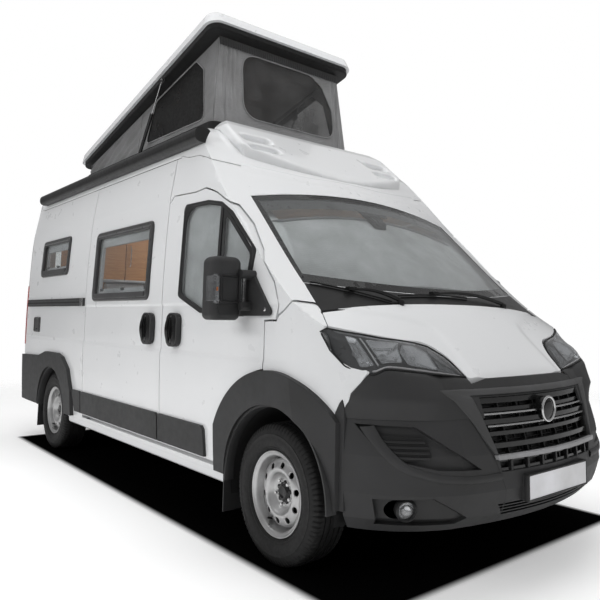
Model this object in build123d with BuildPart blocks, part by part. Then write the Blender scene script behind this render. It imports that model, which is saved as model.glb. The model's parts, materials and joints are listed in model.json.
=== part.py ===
from build123d import *
import math
import os

os.makedirs("parts", exist_ok=True)

# Camper van: a high-roof panel van with a pop-top sleeping roof hinged at its rear.
# Millimetres. +X forward, +Y to the driver's left, +Z up, origin on the ground at mid-length.

# ---------------------------------------------------------------- driving dimensions
WHEELBASE = 3450
FRONT_OVERHANG = 948
REAR_OVERHANG = 1015
LENGTH = FRONT_OVERHANG + WHEELBASE + REAR_OVERHANG
NOSE_X = LENGTH / 2
TAIL_X = -LENGTH / 2
FRONT_AXLE_X = NOSE_X - FRONT_OVERHANG
REAR_AXLE_X = TAIL_X + REAR_OVERHANG

WALL = 55                # a door or side wall, outer skin to inner lining
ROOF_WALL = 40
PANEL_GAP = 8            # shut line between two panels
FIT = 0.4                # fixed pieces that nest in each other
CLEAR = 10               # a moving piece and its neighbour

# cross-section of the body: height and half-width of each station
SILL_Z, SILL_HALF = 360, 1003
WAIST_Z, WAIST_HALF = 1350, 1027
CREASE_Z, CREASE_HALF = 1988, 996
GUTTER_Z, GUTTER_HALF = 2262, 955
SHOULDER_Z, SHOULDER_HALF = 2415, 890
EAVES_Z, EAVES_HALF = 2490, 740
ROOF_Z = 2524

REAR_FACE_X = TAIL_X + 62
REAR_LEAN = 55           # the rear doors lean in by this much at the roof
REAR_CORNER = 70
FRONT_FACE_X = NOSE_X - 160

FLOOR_Z = 540
FLOOR_THICK = 40

# seams
DOOR_REAR_X = 488
DOOR_FRONT_X = 1668
SLIDE_REAR_X = -930
DOOR_BOTTOM_Z = 395
ARCH_R = 432
FLARE_R = 600
REAR_ARCH_R = 388

# wheels
TYRE_R = 341
TYRE_WIDTH = 215
RIM_R = 203
RIM_WIDTH = 180
FRONT_TRACK = 1810
REAR_TRACK = 1790
KINGPIN_HALF = 800

# pop-top roof
HINGE_X = -2560
HINGE_Z = 2580
HINGE_HALF = 450
ROOF_OPEN_DEG = 13.44
SHELL_REAR_U = 340       # distances from the hinge line along the shell
SHELL_FRONT_U = 3075
SHELL_RIM_W = 81         # the rim stands this far above the hinge line when closed
SHELL_HALF = 705
SHELL_HEIGHT = 96
SHELL_TAPER = 15
SHELL_SKIN = 26
LINER_DROP = 40
BASE_TOP_Z = 2612
TENT_FRONT_X = 385
TENT_REAR_X = -2090
TENT_HALF = 637
TENT_LEAN = 0.095        # the tent walls lean in by this share of their height
TENT_SKIN = 12
OPENING_FRONT_X = 330
OPENING_REAR_X = -1650
OPENING_HALF = 520


def save(builder, name):
    builder.part.label = name
    export_step(builder.part, f"parts/{name}.step")


# ---------------------------------------------------------------- body envelope
def section_face(inset):
    with BuildSketch(Plane.YZ.offset(REAR_FACE_X - 50)) as face:
        with BuildLine():
            sill = (SILL_HALF - inset, SILL_Z)
            waist = (WAIST_HALF - inset, WAIST_Z)
            crease = (CREASE_HALF - inset, CREASE_Z)
            gutter = (GUTTER_HALF - inset, GUTTER_Z)
            shoulder = (SHOULDER_HALF - inset, SHOULDER_Z - inset / 2)
            eaves = (EAVES_HALF - inset / 2, EAVES_Z - inset)
            crown = (0, ROOF_Z - inset)
            Line((0, SILL_Z), sill)
            ThreePointArc(sill, waist, crease)
            Line(crease, gutter)
            ThreePointArc(gutter, shoulder, eaves)
            Line(eaves, crown)
            Line(crown, (0, SILL_Z))
        make_face()
        mirror(about=Plane.YZ)
    return face.sketch


# plan outline of the body at its waist: x and half-width
PLAN_REAR_HALF = 975
PLAN_TAPER_X = 1500
PLAN_CORNER_X, PLAN_CORNER_HALF = 2330, 930
PLAN_FRONT_X, PLAN_FRONT_HALF = 2500, 640


def plan_face(inset):
    side = WAIST_HALF + 25 - inset
    rear = REAR_FACE_X + inset
    with BuildSketch() as face:
        with BuildLine():
            Line((rear, 0), (rear, PLAN_REAR_HALF - inset))
            Line((rear, PLAN_REAR_HALF - inset), (rear + REAR_CORNER, side))
            Line((rear + REAR_CORNER, side), (PLAN_TAPER_X, side))
            ThreePointArc((PLAN_TAPER_X, side), (2000, 1015 - inset), (PLAN_CORNER_X, PLAN_CORNER_HALF - inset))
            Line((PLAN_CORNER_X, PLAN_CORNER_HALF - inset), (PLAN_FRONT_X - inset, PLAN_FRONT_HALF))
            Line((PLAN_FRONT_X - inset, PLAN_FRONT_HALF), (FRONT_FACE_X - inset, 0))
            Line((FRONT_FACE_X - inset, 0), (rear, 0))
        make_face()
        mirror(about=Plane.XZ)
    return face.sketch


# crown of the windscreen and bonnet: x, height on the centre line, drop at CROWN_HALF
CROWN_HALF = 1080
CROWN_STATIONS = (
    # x, centre_z, drop
    (430, 2560, 23),
    (640, 2490, 52),
    (1258, 2026, 186),
    (1960, 1405, 175),
    (2240, 1172, 99),
    (2580, 850, 17),
)


def crown_cutter(inset):
    with BuildPart() as cutter:
        for x, centre_z, drop in CROWN_STATIONS:
            z = centre_z - inset * 1.3
            with BuildSketch(Plane.YZ.offset(x)):
                with BuildLine():
                    ThreePointArc((-CROWN_HALF, z - drop), (0, z), (CROWN_HALF, z - drop))
                    Line((CROWN_HALF, z - drop), (CROWN_HALF + 100, z - drop))
                    Line((CROWN_HALF + 100, z - drop), (CROWN_HALF + 100, ROOF_Z + 200))
                    Line((CROWN_HALF + 100, ROOF_Z + 200), (-CROWN_HALF - 100, ROOF_Z + 200))
                    Line((-CROWN_HALF - 100, ROOF_Z + 200), (-CROWN_HALF - 100, z - drop))
                    Line((-CROWN_HALF - 100, z - drop), (-CROWN_HALF, z - drop))
                make_face()
        loft(ruled=True)
    return cutter.part


def envelope(inset):
    with BuildPart() as body:
        extrude(section_face(inset), amount=LENGTH, dir=(1, 0, 0))
        extrude(plan_face(inset), amount=ROOF_Z + 200, dir=(0, 0, 1), mode=Mode.INTERSECT)
        with BuildSketch(Plane.XZ):
            with BuildLine():
                rear_x = REAR_FACE_X + inset
                top_z = ROOF_Z - inset
                Polyline((rear_x, 0), (rear_x, 1400), (rear_x + REAR_LEAN, top_z - 150),
                         (rear_x + REAR_LEAN + 110, top_z + 1), (NOSE_X, top_z + 1), (NOSE_X, 0), close=True)
            make_face()
        extrude(amount=LENGTH, both=True, mode=Mode.INTERSECT)
        add(crown_cutter(inset), mode=Mode.SUBTRACT)
    return body.part


def side_skin(inset):
    """The body's flanks alone, with no windscreen or bonnet cut, for what sits on the sides."""
    with BuildPart() as flanks:
        extrude(section_face(inset), amount=LENGTH, dir=(1, 0, 0))
        extrude(plan_face(inset), amount=ROOF_Z + 200, dir=(0, 0, 1), mode=Mode.INTERSECT)
    return flanks.part


side_outer = side_skin(0)
side_inner = side_skin(WALL)
outer = envelope(0)
inner = envelope(WALL)
roof_inner = envelope(ROOF_WALL)


def side_prism(points, near=300, far=1200):
    """A side-view outline (x, z) run through the right side of the van, from y = -far to -near."""
    with BuildPart() as prism:
        with BuildSketch(Plane.XZ.offset(near)):
            with BuildLine():
                Polyline(*points, close=True)
            make_face()
        extrude(amount=far - near)
    return prism.part


def wheel_disc(x, radius, width=1300):
    """A cylinder on an axle line through the whole van, for arches."""
    with BuildPart() as disc:
        with BuildSketch(Plane.XZ):
            with Locations((x, TYRE_R)):
                Circle(radius)
        extrude(amount=width, both=True)
    return disc.part


front_arch = wheel_disc(FRONT_AXLE_X, ARCH_R)
rear_arch = wheel_disc(REAR_AXLE_X, REAR_ARCH_R)

# ---------------------------------------------------------------- side view outlines
G = PANEL_GAP / 2
DOOR_OUTLINE = (
    (DOOR_REAR_X + G, DOOR_BOTTOM_Z),
    (DOOR_REAR_X + G, 1945),
    (DOOR_REAR_X + 60, 1985),
    (960, 1965),
    (1110, 1922),
    (1290, 1838),
    (1425, 1725),
    (1584, 1575),
    (1745, 1400),
    (1790, 1290),
    (1765, 1200),
    (DOOR_FRONT_X - G, 1190),
    (DOOR_FRONT_X - G, DOOR_BOTTOM_Z),
)
CAB_OUTLINE = (
    (DOOR_REAR_X + G, 1945 + PANEL_GAP),
    (DOOR_REAR_X + 55, 1985 + PANEL_GAP),
    (963, 1965 + PANEL_GAP),
    (1114, 1922 + PANEL_GAP),
    (1296, 1838 + PANEL_GAP),
    (1431, 1725 + PANEL_GAP),
    (1590, 1575 + PANEL_GAP),
    (1753, 1400 + PANEL_GAP),
    (1799, 1290),
    (1790, 1235),
    (1905, 1300),
    (2125, 1215),
    (2125, 1500),
    (1258, 2205),
    (1167, 2083),
    (560, GUTTER_Z - 2),
    (DOOR_REAR_X + G, GUTTER_Z - 2),
)
ROOF_OUTLINE = (
    (TAIL_X, GUTTER_Z),
    (562, GUTTER_Z),
    (1167, 2087),
    (1300, 2300),
    (1300, 2700),
    (TAIL_X, 2700),
)
WING_TOP_X = 2125
LAMP_OUTER = (2110, 1150)
LAMP_TIP = (2335, 968)
BUMPER_BACK_X = 2215
WING_OUTLINE = (
    (DOOR_FRONT_X + G, 640),
    (DOOR_FRONT_X + G, 1180),
    (1775, 1190),
    (1800, 1228),
    (1908, 1290),
    (WING_TOP_X, 1206),
    LAMP_OUTER,
    LAMP_TIP,
    (BUMPER_BACK_X, 790),
    (BUMPER_BACK_X, 640),
)
SLIDE_OUTLINE = (
    (SLIDE_REAR_X + G, DOOR_BOTTOM_Z),
    (DOOR_REAR_X - G, DOOR_BOTTOM_Z),
    (DOOR_REAR_X - G, GUTTER_Z - 10),
    (SLIDE_REAR_X + G, GUTTER_Z - 10),
)
QUARTER_FRONT_X = SLIDE_REAR_X - G


def window_sketch(x, z, width, height, corner=60):
    with BuildSketch(Plane.XZ.offset(300)) as outline:
        with Locations((x, z)):
            RectangleRounded(width, height, corner)
    return outline.sketch


# windows of the load space: centre x, centre z, width, height
WINDOW_BIG = (-237, 1582, 1020, 520)
WINDOW_SMALL = (-1797, 1726, 745, 320)


def mirrored(part):
    return mirror(part, about=Plane.XZ)


def window_glass(window, skin_from, skin_to):
    x, z, width, height = window
    with BuildPart() as glass:
        extrude(window_sketch(x, z, width - 2 * FIT, height - 2 * FIT), amount=900, dir=(0, -1, 0))
        add(envelope(skin_from), mode=Mode.INTERSECT)
        add(envelope(skin_to), mode=Mode.SUBTRACT)
    return glass.part


# ---------------------------------------------------------------- body panels
with BuildPart() as shell_builder:
    add(outer)
    add(inner, mode=Mode.SUBTRACT)
shell = shell_builder.part

with BuildPart() as sliding_door:
    add(side_prism(SLIDE_OUTLINE))
    add(shell, mode=Mode.INTERSECT)
    x, z, width, height = WINDOW_BIG
    extrude(window_sketch(x, z, width, height), amount=900, dir=(0, -1, 0), mode=Mode.SUBTRACT)
save(sliding_door, "sliding_door")

QUARTER_OUTLINE = (
    (TAIL_X, SILL_Z),
    (QUARTER_FRONT_X, SILL_Z),
    (QUARTER_FRONT_X, GUTTER_Z - 2),
    (TAIL_X, GUTTER_Z - 2),
)
REAR_DOOR_HALF = 915
REAR_DOOR_BOTTOM_Z = 548
REAR_DOOR_TOP_Z = 2235


def rear_door_prism(inboard, outboard, shrink):
    with BuildPart() as prism:
        with BuildSketch(Plane.YZ.offset(TAIL_X - 10)):
            with BuildLine():
                Polyline((-inboard, REAR_DOOR_BOTTOM_Z + shrink), (-outboard, REAR_DOOR_BOTTOM_Z + shrink),
                         (-outboard, REAR_DOOR_TOP_Z - 260), (-outboard + 45, REAR_DOOR_TOP_Z - shrink),
                         (-inboard, REAR_DOOR_TOP_Z - shrink), close=True)
            make_face()
        extrude(amount=260)
    return prism.part


rear_opening = rear_door_prism(-REAR_DOOR_HALF, REAR_DOOR_HALF, 0)
with BuildPart() as side_right:
    add(side_prism(QUARTER_OUTLINE))
    add(shell, mode=Mode.INTERSECT)
    add(rear_arch, mode=Mode.SUBTRACT)
    add(rear_opening, mode=Mode.SUBTRACT)
    split(bisect_by=Plane.XZ.offset(REAR_DOOR_HALF - 70), keep=Keep.TOP)
    x, z, width, height = WINDOW_SMALL
    extrude(window_sketch(x, z, width, height), amount=900, dir=(0, -1, 0), mode=Mode.SUBTRACT)
save(side_right, "side_right")

LEFT_OUTLINE = (
    (TAIL_X, SILL_Z),
    (DOOR_REAR_X - G, SILL_Z),
    (DOOR_REAR_X - G, GUTTER_Z - 2),
    (TAIL_X, GUTTER_Z - 2),
)
with BuildPart() as left_wall:
    add(side_prism(LEFT_OUTLINE))
    add(shell, mode=Mode.INTERSECT)
    add(rear_arch, mode=Mode.SUBTRACT)
    add(rear_opening, mode=Mode.SUBTRACT)
    split(bisect_by=Plane.XZ.offset(REAR_DOOR_HALF - 70), keep=Keep.TOP)
    for x, z, width, height in (WINDOW_BIG, WINDOW_SMALL):
        extrude(window_sketch(x, z, width, height), amount=900, dir=(0, -1, 0), mode=Mode.SUBTRACT)
with BuildPart() as side_left:
    add(mirrored(left_wall.part))
save(side_left, "side_left")

with BuildPart() as side_windows:
    big_glass = window_glass(WINDOW_BIG, 6, 14)
    small_glass = window_glass(WINDOW_SMALL, 6, 14)
    add(big_glass)
    add(small_glass)
    add(mirrored(big_glass))
    add(mirrored(small_glass))
save(side_windows, "side_windows")

OPENING_MID_X = (OPENING_FRONT_X + OPENING_REAR_X) / 2
OPENING_LENGTH = OPENING_FRONT_X - OPENING_REAR_X


def roof_skin(strips):
    """The high roof less the pop-top's cut-out: the ends of the roof, or the strips beside the cut-out."""
    with BuildPart() as skin:
        add(side_prism(ROOF_OUTLINE, near=-1200))
        add(outer, mode=Mode.INTERSECT)
        add(roof_inner, mode=Mode.SUBTRACT)
        with Locations((OPENING_MID_X, 0, 2400)):
            if strips:
                Box(OPENING_LENGTH, 2 * OPENING_HALF, 900, mode=Mode.SUBTRACT)
                Box(OPENING_LENGTH, 2400, 900, mode=Mode.INTERSECT)
            else:
                Box(OPENING_LENGTH, 2400, 900, mode=Mode.SUBTRACT)
    return skin


roof_panel = roof_skin(False)
save(roof_panel, "roof_panel")
roof_rails = roof_skin(True)
save(roof_rails, "roof_rails")

# ---------------------------------------------------------------- windscreen, cab frame, bonnet, wings
SCREEN_BASE_X = 2040     # foot of the windscreen and rear edge of the bonnet, on the centre line
BONNET_REAR_X = 2122
BONNET_CORNER = (2024, 938)
with BuildSketch(Plane.XY.offset(900)) as screen_plan:
    with BuildLine():
        ThreePointArc((1250, -862), (1292, 0), (1250, 862))
        Line((1250, 862), (1830, 905))
        ThreePointArc((1830, 905), (SCREEN_BASE_X, 0), (1830, -905))
        Line((1830, -905), (1250, -862))
    make_face()
with BuildSketch(Plane.XY.offset(700)) as bonnet_plan:
    with BuildLine():
        ThreePointArc((BONNET_CORNER[0], -BONNET_CORNER[1]), (BONNET_REAR_X, 0), BONNET_CORNER)
        Line(BONNET_CORNER, (2100, 935))
        Line((2100, 935), (2130, 915))
        ThreePointArc((2130, 915), (2370, 700), (2510, 450))
        ThreePointArc((2510, 450), (2520, 0), (2510, -450))
        ThreePointArc((2510, -450), (2370, -700), (2130, -915))
        Line((2130, -915), (2100, -935))
        Line((2100, -935), (BONNET_CORNER[0], -BONNET_CORNER[1]))
    make_face()
COWL_GAP = 3
with BuildSketch(Plane.XY.offset(900)) as cowl_plan:
    with BuildLine():
        screen_foot = (1830 + COWL_GAP, 903)
        cowl_corner = (BONNET_CORNER[0] - PANEL_GAP - COWL_GAP, BONNET_CORNER[1] - 4)
        ThreePointArc((screen_foot[0], -screen_foot[1]), (SCREEN_BASE_X + COWL_GAP, 0), screen_foot)
        Line(screen_foot, cowl_corner)
        ThreePointArc(cowl_corner, (BONNET_REAR_X - PANEL_GAP - COWL_GAP, 0), (cowl_corner[0], -cowl_corner[1]))
        Line((cowl_corner[0], -cowl_corner[1]), (screen_foot[0], -screen_foot[1]))
    make_face()


BONNET_LOW_Z = 900


def cut_bonnet_room(gap):
    """The column of space over the bonnet's outline, grown by a gap all round."""
    with BuildPart() as column:
        with BuildSketch(Plane.XY.offset(BONNET_LOW_Z - gap)):
            add(bonnet_plan.sketch)
            offset(amount=gap, kind=Kind.INTERSECTION)
        extrude(amount=1200)
    return column.part


BONNET_SKIN = 28
bonnet_room = cut_bonnet_room(PANEL_GAP)
bonnet_inner = envelope(BONNET_SKIN)
with BuildPart() as bonnet:
    extrude(bonnet_plan.sketch, amount=1200, dir=(0, 0, 1))
    add(outer, mode=Mode.INTERSECT)
    add(bonnet_inner, mode=Mode.SUBTRACT)
    split(bisect_by=Plane.XY.offset(BONNET_LOW_Z), keep=Keep.TOP)
save(bonnet, "bonnet")

with BuildPart() as windscreen:
    extrude(screen_plan.sketch, amount=1400, dir=(0, 0, 1))
    add(envelope(4), mode=Mode.INTERSECT)
    add(envelope(11), mode=Mode.SUBTRACT)
save(windscreen, "windscreen")

with BuildPart() as cab_half:
    add(side_prism(CAB_OUTLINE, near=0))
    add(shell, mode=Mode.INTERSECT)
    extrude(screen_plan.sketch, amount=1400, dir=(0, 0, 1), mode=Mode.SUBTRACT)
    extrude(cowl_plan.sketch, amount=1400, dir=(0, 0, 1), mode=Mode.SUBTRACT)
    add(bonnet_room, mode=Mode.SUBTRACT)
with BuildPart() as cab_frame:
    add(cab_half.part)
    add(mirrored(cab_half.part))
save(cab_frame, "cab_frame")

with BuildPart() as wing_right:
    add(side_prism(WING_OUTLINE, near=500))
    add(shell, mode=Mode.INTERSECT)
    extrude(cowl_plan.sketch, amount=1400, dir=(0, 0, 1), mode=Mode.SUBTRACT)
    add(bonnet_room, mode=Mode.SUBTRACT)
    add(front_arch, mode=Mode.SUBTRACT)
with BuildPart() as wings:
    add(wing_right.part)
    add(mirrored(wing_right.part))
save(wings, "wings")

with BuildPart() as cowl:
    extrude(cowl_plan.sketch, amount=1400, dir=(0, 0, 1))
    add(outer, mode=Mode.INTERSECT)
    add(envelope(14), mode=Mode.SUBTRACT)
save(cowl, "cowl")

# wipers, parked over the cowl: each a blade and an arm from its spindle to the middle of the blade
WIPERS = (
    # blade end x, y, other end x, y, spindle x, y
    (1850, -880, 2070, -510, 2078, -455),
    (2040, -430, 2062, 130, 2070, 470),
)
WIPER_LIFT = 20
with BuildPart() as wiper_layer:
    add(envelope(-WIPER_LIFT))
    add(outer, mode=Mode.SUBTRACT)
    split(bisect_by=Plane.XY.offset(1100), keep=Keep.TOP)


def plan_strip(start, end, width):
    """A round-ended bar seen from above, between two points."""
    run = Vector(*end) - Vector(*start)
    with BuildSketch(Plane.XY.offset(1100)) as strip:
        with Locations(((start[0] + end[0]) / 2, (start[1] + end[1]) / 2)):
            SlotCenterToCenter(run.length, width, rotation=math.degrees(math.atan2(run.Y, run.X)))
    return strip.sketch


with BuildPart() as wipers:
    for x1, y1, x2, y2, spindle_x, spindle_y in WIPERS:
        extrude(plan_strip((x1, y1), (x2, y2), 22), amount=400, dir=(0, 0, 1))
        extrude(plan_strip((spindle_x, spindle_y), ((x1 + x2) / 2, (y1 + y2) / 2), 16), amount=400, dir=(0, 0, 1))
        with BuildSketch(Plane.XY.offset(1100)):
            with Locations((spindle_x, spindle_y)):
                Circle(20)
        extrude(amount=400)
    add(wiper_layer.part, mode=Mode.INTERSECT)
save(wipers, "wipers")


# ---------------------------------------------------------------- front doors
DOOR_GLASS = (
    (720, 1330), (720, 1900), (1010, 1893), (1170, 1862), (1300, 1790),
    (1560, 1558), (1478, 1215), (1000, 1232), (800, 1300),
)
MIRROR_BASE = ((1512, 1500), (1762, 1212), (1470, 1208))


def outline_prism(points, corner=0, gap=0, near=300, far=1200):
    with BuildPart() as prism:
        with BuildSketch(Plane.XZ.offset(near)):
            with BuildLine():
                Polyline(*points, close=True)
            make_face()
            if corner:
                fillet(vertices(), corner)
            if gap:
                offset(amount=gap, kind=Kind.INTERSECTION)
        extrude(amount=far - near)
    return prism.part


FLARE_REAR_X = 1222
with BuildPart() as flare_room:
    add(wheel_disc(FRONT_AXLE_X, FLARE_R + PANEL_GAP))
    with BuildSketch(Plane.XY):
        with Locations((FLARE_REAR_X - PANEL_GAP + 500, 0)):
            Rectangle(1000, 2 * 1300)
    extrude(amount=1500, mode=Mode.INTERSECT)

with BuildPart() as door_right:
    add(side_prism(DOOR_OUTLINE))
    add(shell, mode=Mode.INTERSECT)
    add(flare_room.part, mode=Mode.SUBTRACT)
    add(outline_prism(DOOR_GLASS, corner=25), mode=Mode.SUBTRACT)
save(door_right, "door_right")

with BuildPart() as door_left:
    add(mirrored(door_right.part))
save(door_left, "door_left")

with BuildPart() as door_right_glass:
    add(outline_prism(DOOR_GLASS, corner=25, gap=-FIT))
    add(envelope(5), mode=Mode.INTERSECT)
    add(envelope(12), mode=Mode.SUBTRACT)
save(door_right_glass, "door_right_glass")

with BuildPart() as door_left_glass:
    add(mirrored(door_right_glass.part))
save(door_left_glass, "door_left_glass")

# everything moulded that stands proud of the skin is cut from a thicker skin
TRIM_PROUD = 18
FLARE_PROUD = 30


def skin_layer(proud):
    with BuildPart() as layer:
        add(side_skin(-proud))
        add(side_outer, mode=Mode.SUBTRACT)
        split(bisect_by=Plane.XZ.offset(600), keep=Keep.TOP)
    return layer.part


proud_skin = skin_layer(TRIM_PROUD)
flare_skin = skin_layer(FLARE_PROUD)
handle_skin = skin_layer(26)


def on_skin(prism, skin):
    with BuildPart() as piece:
        add(prism)
        add(skin, mode=Mode.INTERSECT)
    return piece.part


MOULD_LOW_Z = 408
MOULD_HIGH_Z = 578


def moulding(rear_x, front_x, front_slant=0, rear_slant=0):
    return on_skin(side_prism((
        (rear_x + rear_slant, MOULD_LOW_Z), (front_x, MOULD_LOW_Z), (front_x - front_slant, MOULD_HIGH_Z - 20),
        (front_x - front_slant - 20, MOULD_HIGH_Z), (rear_x, MOULD_HIGH_Z))), proud_skin)


def handle(x, z, width=150, height=210):
    with BuildPart() as grip:
        with BuildSketch(Plane.XZ.offset(900)):
            with Locations((x, z)):
                RectangleRounded(width, height, 55)
        extrude(amount=200)
        add(handle_skin, mode=Mode.INTERSECT)
        with BuildSketch(Plane.XZ.offset(900)):
            with Locations((x - width / 4, z)):
                RectangleRounded(width / 3, height * 0.7, 20)
        extrude(amount=200, mode=Mode.SUBTRACT)
    return grip.part


MIRROR_X = 1470          # centre of the mirror head
MIRROR_Y = 1165
MIRROR_LOW_Z = 1185
MIRROR_HIGH_Z = 1515
MIRROR_ARM = 46

with BuildPart() as mirror_head:
    with BuildSketch(Plane.XY.offset(MIRROR_LOW_Z)):
        with Locations((MIRROR_X, -MIRROR_Y)):
            RectangleRounded(150, 172, 45)
    extrude(amount=MIRROR_HIGH_Z - MIRROR_LOW_Z)
    fillet(faces().sort_by(Axis.Z)[-1].edges(), 40)
    fillet(faces().sort_by(Axis.Z)[0].edges(), 30)
    with BuildSketch(Plane.YZ.offset(MIRROR_X - 80)):
        with Locations((-MIRROR_Y, (MIRROR_LOW_Z + MIRROR_HIGH_Z) / 2 + 40)):
            RectangleRounded(140, 190, 25)
        with Locations((-MIRROR_Y, MIRROR_LOW_Z + 65)):
            RectangleRounded(140, 70, 25)
    extrude(amount=18, mode=Mode.SUBTRACT)
    for arm_z in (MIRROR_LOW_Z + 75, MIRROR_HIGH_Z - 90):
        with BuildSketch(Plane.XZ.offset(960)):
            with Locations((MIRROR_X + 62, arm_z)):
                SlotOverall(110, MIRROR_ARM)
        extrude(amount=150)
    add(side_outer, mode=Mode.SUBTRACT)

DOOR_TRIM_FRONT_X = 1092
DOOR_HANDLE = (690, 1117)
SLIDE_HANDLE = (315, 1117)
with BuildPart() as door_right_trim:
    add(mirror_head.part)
    add(on_skin(outline_prism(MIRROR_BASE, corner=20), proud_skin))
    add(moulding(DOOR_REAR_X + G + 4, DOOR_TRIM_FRONT_X, front_slant=12))
    add(handle(*DOOR_HANDLE))
save(door_right_trim, "door_right_trim")

with BuildPart() as door_left_trim:
    add(mirrored(door_right_trim.part))
save(door_left_trim, "door_left_trim")

# ---------------------------------------------------------------- trim on the fixed sides
RAIL_Z = 1305
RAIL_HEIGHT = 66
with BuildPart() as side_trim:
    slide_moulding = moulding(SLIDE_REAR_X + G + 4, DOOR_REAR_X - G - 4)
    quarter_moulding = moulding(-1133, QUARTER_FRONT_X - 4, rear_slant=60)
    left_moulding = moulding(-1133, DOOR_REAR_X - G - 4, rear_slant=60)
    rail = on_skin(side_prism((
        (REAR_FACE_X + 130, RAIL_Z - RAIL_HEIGHT / 2), (QUARTER_FRONT_X - 6, RAIL_Z - RAIL_HEIGHT / 2),
        (QUARTER_FRONT_X - 6, RAIL_Z + RAIL_HEIGHT / 2), (REAR_FACE_X + 130, RAIL_Z + RAIL_HEIGHT / 2))),
        proud_skin)
    add(slide_moulding)
    add(quarter_moulding)
    add(mirrored(left_moulding))
    add(rail)
    add(handle(*SLIDE_HANDLE))
save(side_trim, "side_trim")

# ---------------------------------------------------------------- wheel arch flares and rear cladding
CLAD_REAR_X = REAR_FACE_X + 66
CLAD_OUTLINE = (
    (-1140, 335), (-1150, 560), (-1235, 740), (-1380, 835), (-1560, 868), (-1800, 868),
    (-2050, 812), (-2600, 798), (-2600, 365), (-1300, 335),
)
with BuildPart() as flare_right:
    add(wheel_disc(FRONT_AXLE_X, FLARE_R))
    with BuildSketch(Plane.XZ.offset(300)):
        with Locations(((FLARE_REAR_X + 2205) / 2, 800)):
            Rectangle(2205 - FLARE_REAR_X, 930)
    extrude(amount=900, mode=Mode.INTERSECT)
    add(flare_skin, mode=Mode.INTERSECT)
    add(front_arch, mode=Mode.SUBTRACT)
with BuildPart() as clad_right:
    add(on_skin(side_prism(CLAD_OUTLINE, near=830), flare_skin))
    add(rear_arch, mode=Mode.SUBTRACT)
    with BuildSketch(Plane.YZ.offset(CLAD_REAR_X)):
        with Locations((-1000, 560)):
            Rectangle(200, 600)
    extrude(amount=1500, mode=Mode.INTERSECT)


def mud_flap(x):
    with BuildPart() as flap:
        with BuildSketch(Plane.YZ.offset(x)):
            with BuildLine():
                Polyline((-1008, 150), (-800, 150), (-800, FLOOR_Z - FLOOR_THICK), (-935, FLOOR_Z - FLOOR_THICK),
                         (-935, 350), (-1008, 350), close=True)
            make_face()
        extrude(amount=8)
    return flap.part


with BuildPart() as arch_trim:
    for piece in (flare_right.part, clad_right.part, mud_flap(FRONT_AXLE_X - 470), mud_flap(REAR_AXLE_X - 420)):
        add(piece)
        add(mirrored(piece))
save(arch_trim, "arch_trim")

# ---------------------------------------------------------------- front bumper, grille, lamps
BUMPER_STATIONS = (
    # z, nose_x, corner_half
    (285, 2610, 955),
    (340, 2665, 975),
    (450, 2700, 990),
    (610, 2690, 992),
    (760, 2645, 985),
    (850, 2612, 968),
    (945, 2540, 930),
)


def bumper_solid(inset):
    with BuildPart() as solid:
        for z, nose_x, corner_half in BUMPER_STATIONS:
            half = corner_half - inset
            nose = nose_x - inset
            with BuildSketch(Plane.XY.offset(z)):
                with BuildLine():
                    corner = (nose - 90, 590 - inset / 2)
                    Line((BUMPER_BACK_X - 60, 0), (BUMPER_BACK_X - 60, half))
                    ThreePointArc((BUMPER_BACK_X - 60, half), (nose - 255, 835 - inset), corner)
                    ThreePointArc(corner, (nose - 24, 300), (nose, 0))
                    Line((nose, 0), (BUMPER_BACK_X - 60, 0))
                make_face()
                mirror(about=Plane.XZ)
        loft(ruled=True)
    return solid.part


bumper_outer = bumper_solid(0)
bumper_inner = bumper_solid(36)
GRILLE_OUTLINE = ((-478, 850), (-415, 600), (415, 600), (478, 850))
MESH_OUTLINE = ((-405, 585), (-392, 528), (392, 528), (405, 585))
INTAKE_OUTLINE = ((-400, 385), (-360, 330), (360, 330), (400, 385))
FOG_HALF, FOG_Z = 800, 385
FOG_R = 48
BUMPER_SIDE = (
    (BUMPER_BACK_X + FIT, 285), (BUMPER_BACK_X + FIT, 789), (LAMP_TIP[0] + 1, LAMP_TIP[1] - 3),
    (2520, 930), (2760, 930), (2760, 285),
)


def front_prism(points, far=600):
    with BuildPart() as prism:
        with BuildSketch(Plane.YZ.offset(NOSE_X - far)):
            with BuildLine():
                Polyline(*points, close=True)
            make_face()
        extrude(amount=far + 50)
    return prism.part


POCKET_OUTLINE = ((-935, 742), (-760, 735), (-640, 640), (-505, 548), (-700, 556), (-830, 590), (-905, 670))
POCKET_DEPTH = 22
SCOOP_OUTLINE = ((-905, 430), (-720, 440), (-560, 345), (-600, 318), (-880, 318))
PLATE_Z = 446
PLATE_HALF = 265
pocket_floor = bumper_solid(POCKET_DEPTH)
with BuildPart() as front_bumper:
    add(bumper_outer)
    add(bumper_inner, mode=Mode.SUBTRACT)
    add(side_prism(BUMPER_SIDE, near=-1200), mode=Mode.INTERSECT)
    add(bonnet_room, mode=Mode.SUBTRACT)
    for outline in (GRILLE_OUTLINE, MESH_OUTLINE, INTAKE_OUTLINE):
        add(front_prism(outline), mode=Mode.SUBTRACT)
    for side in (-1, 1):
        with BuildSketch(Plane.YZ.offset(2300)):
            with Locations((side * FOG_HALF, FOG_Z)):
                Circle(FOG_R)
        extrude(amount=400, mode=Mode.SUBTRACT)
    for outline in (POCKET_OUTLINE, SCOOP_OUTLINE):
        with BuildPart(mode=Mode.PRIVATE) as pocket:
            add(front_prism(outline, far=700))
            add(pocket_floor, mode=Mode.SUBTRACT)
        add(pocket.part, mode=Mode.SUBTRACT)
        add(mirrored(pocket.part), mode=Mode.SUBTRACT)
    with BuildSketch(Plane.YZ.offset(NOSE_X)):
        with Locations((0, PLATE_Z)):
            RectangleRounded(2 * PLATE_HALF, 122, 8)
    extrude(amount=-50)
save(front_bumper, "front_bumper")

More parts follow.
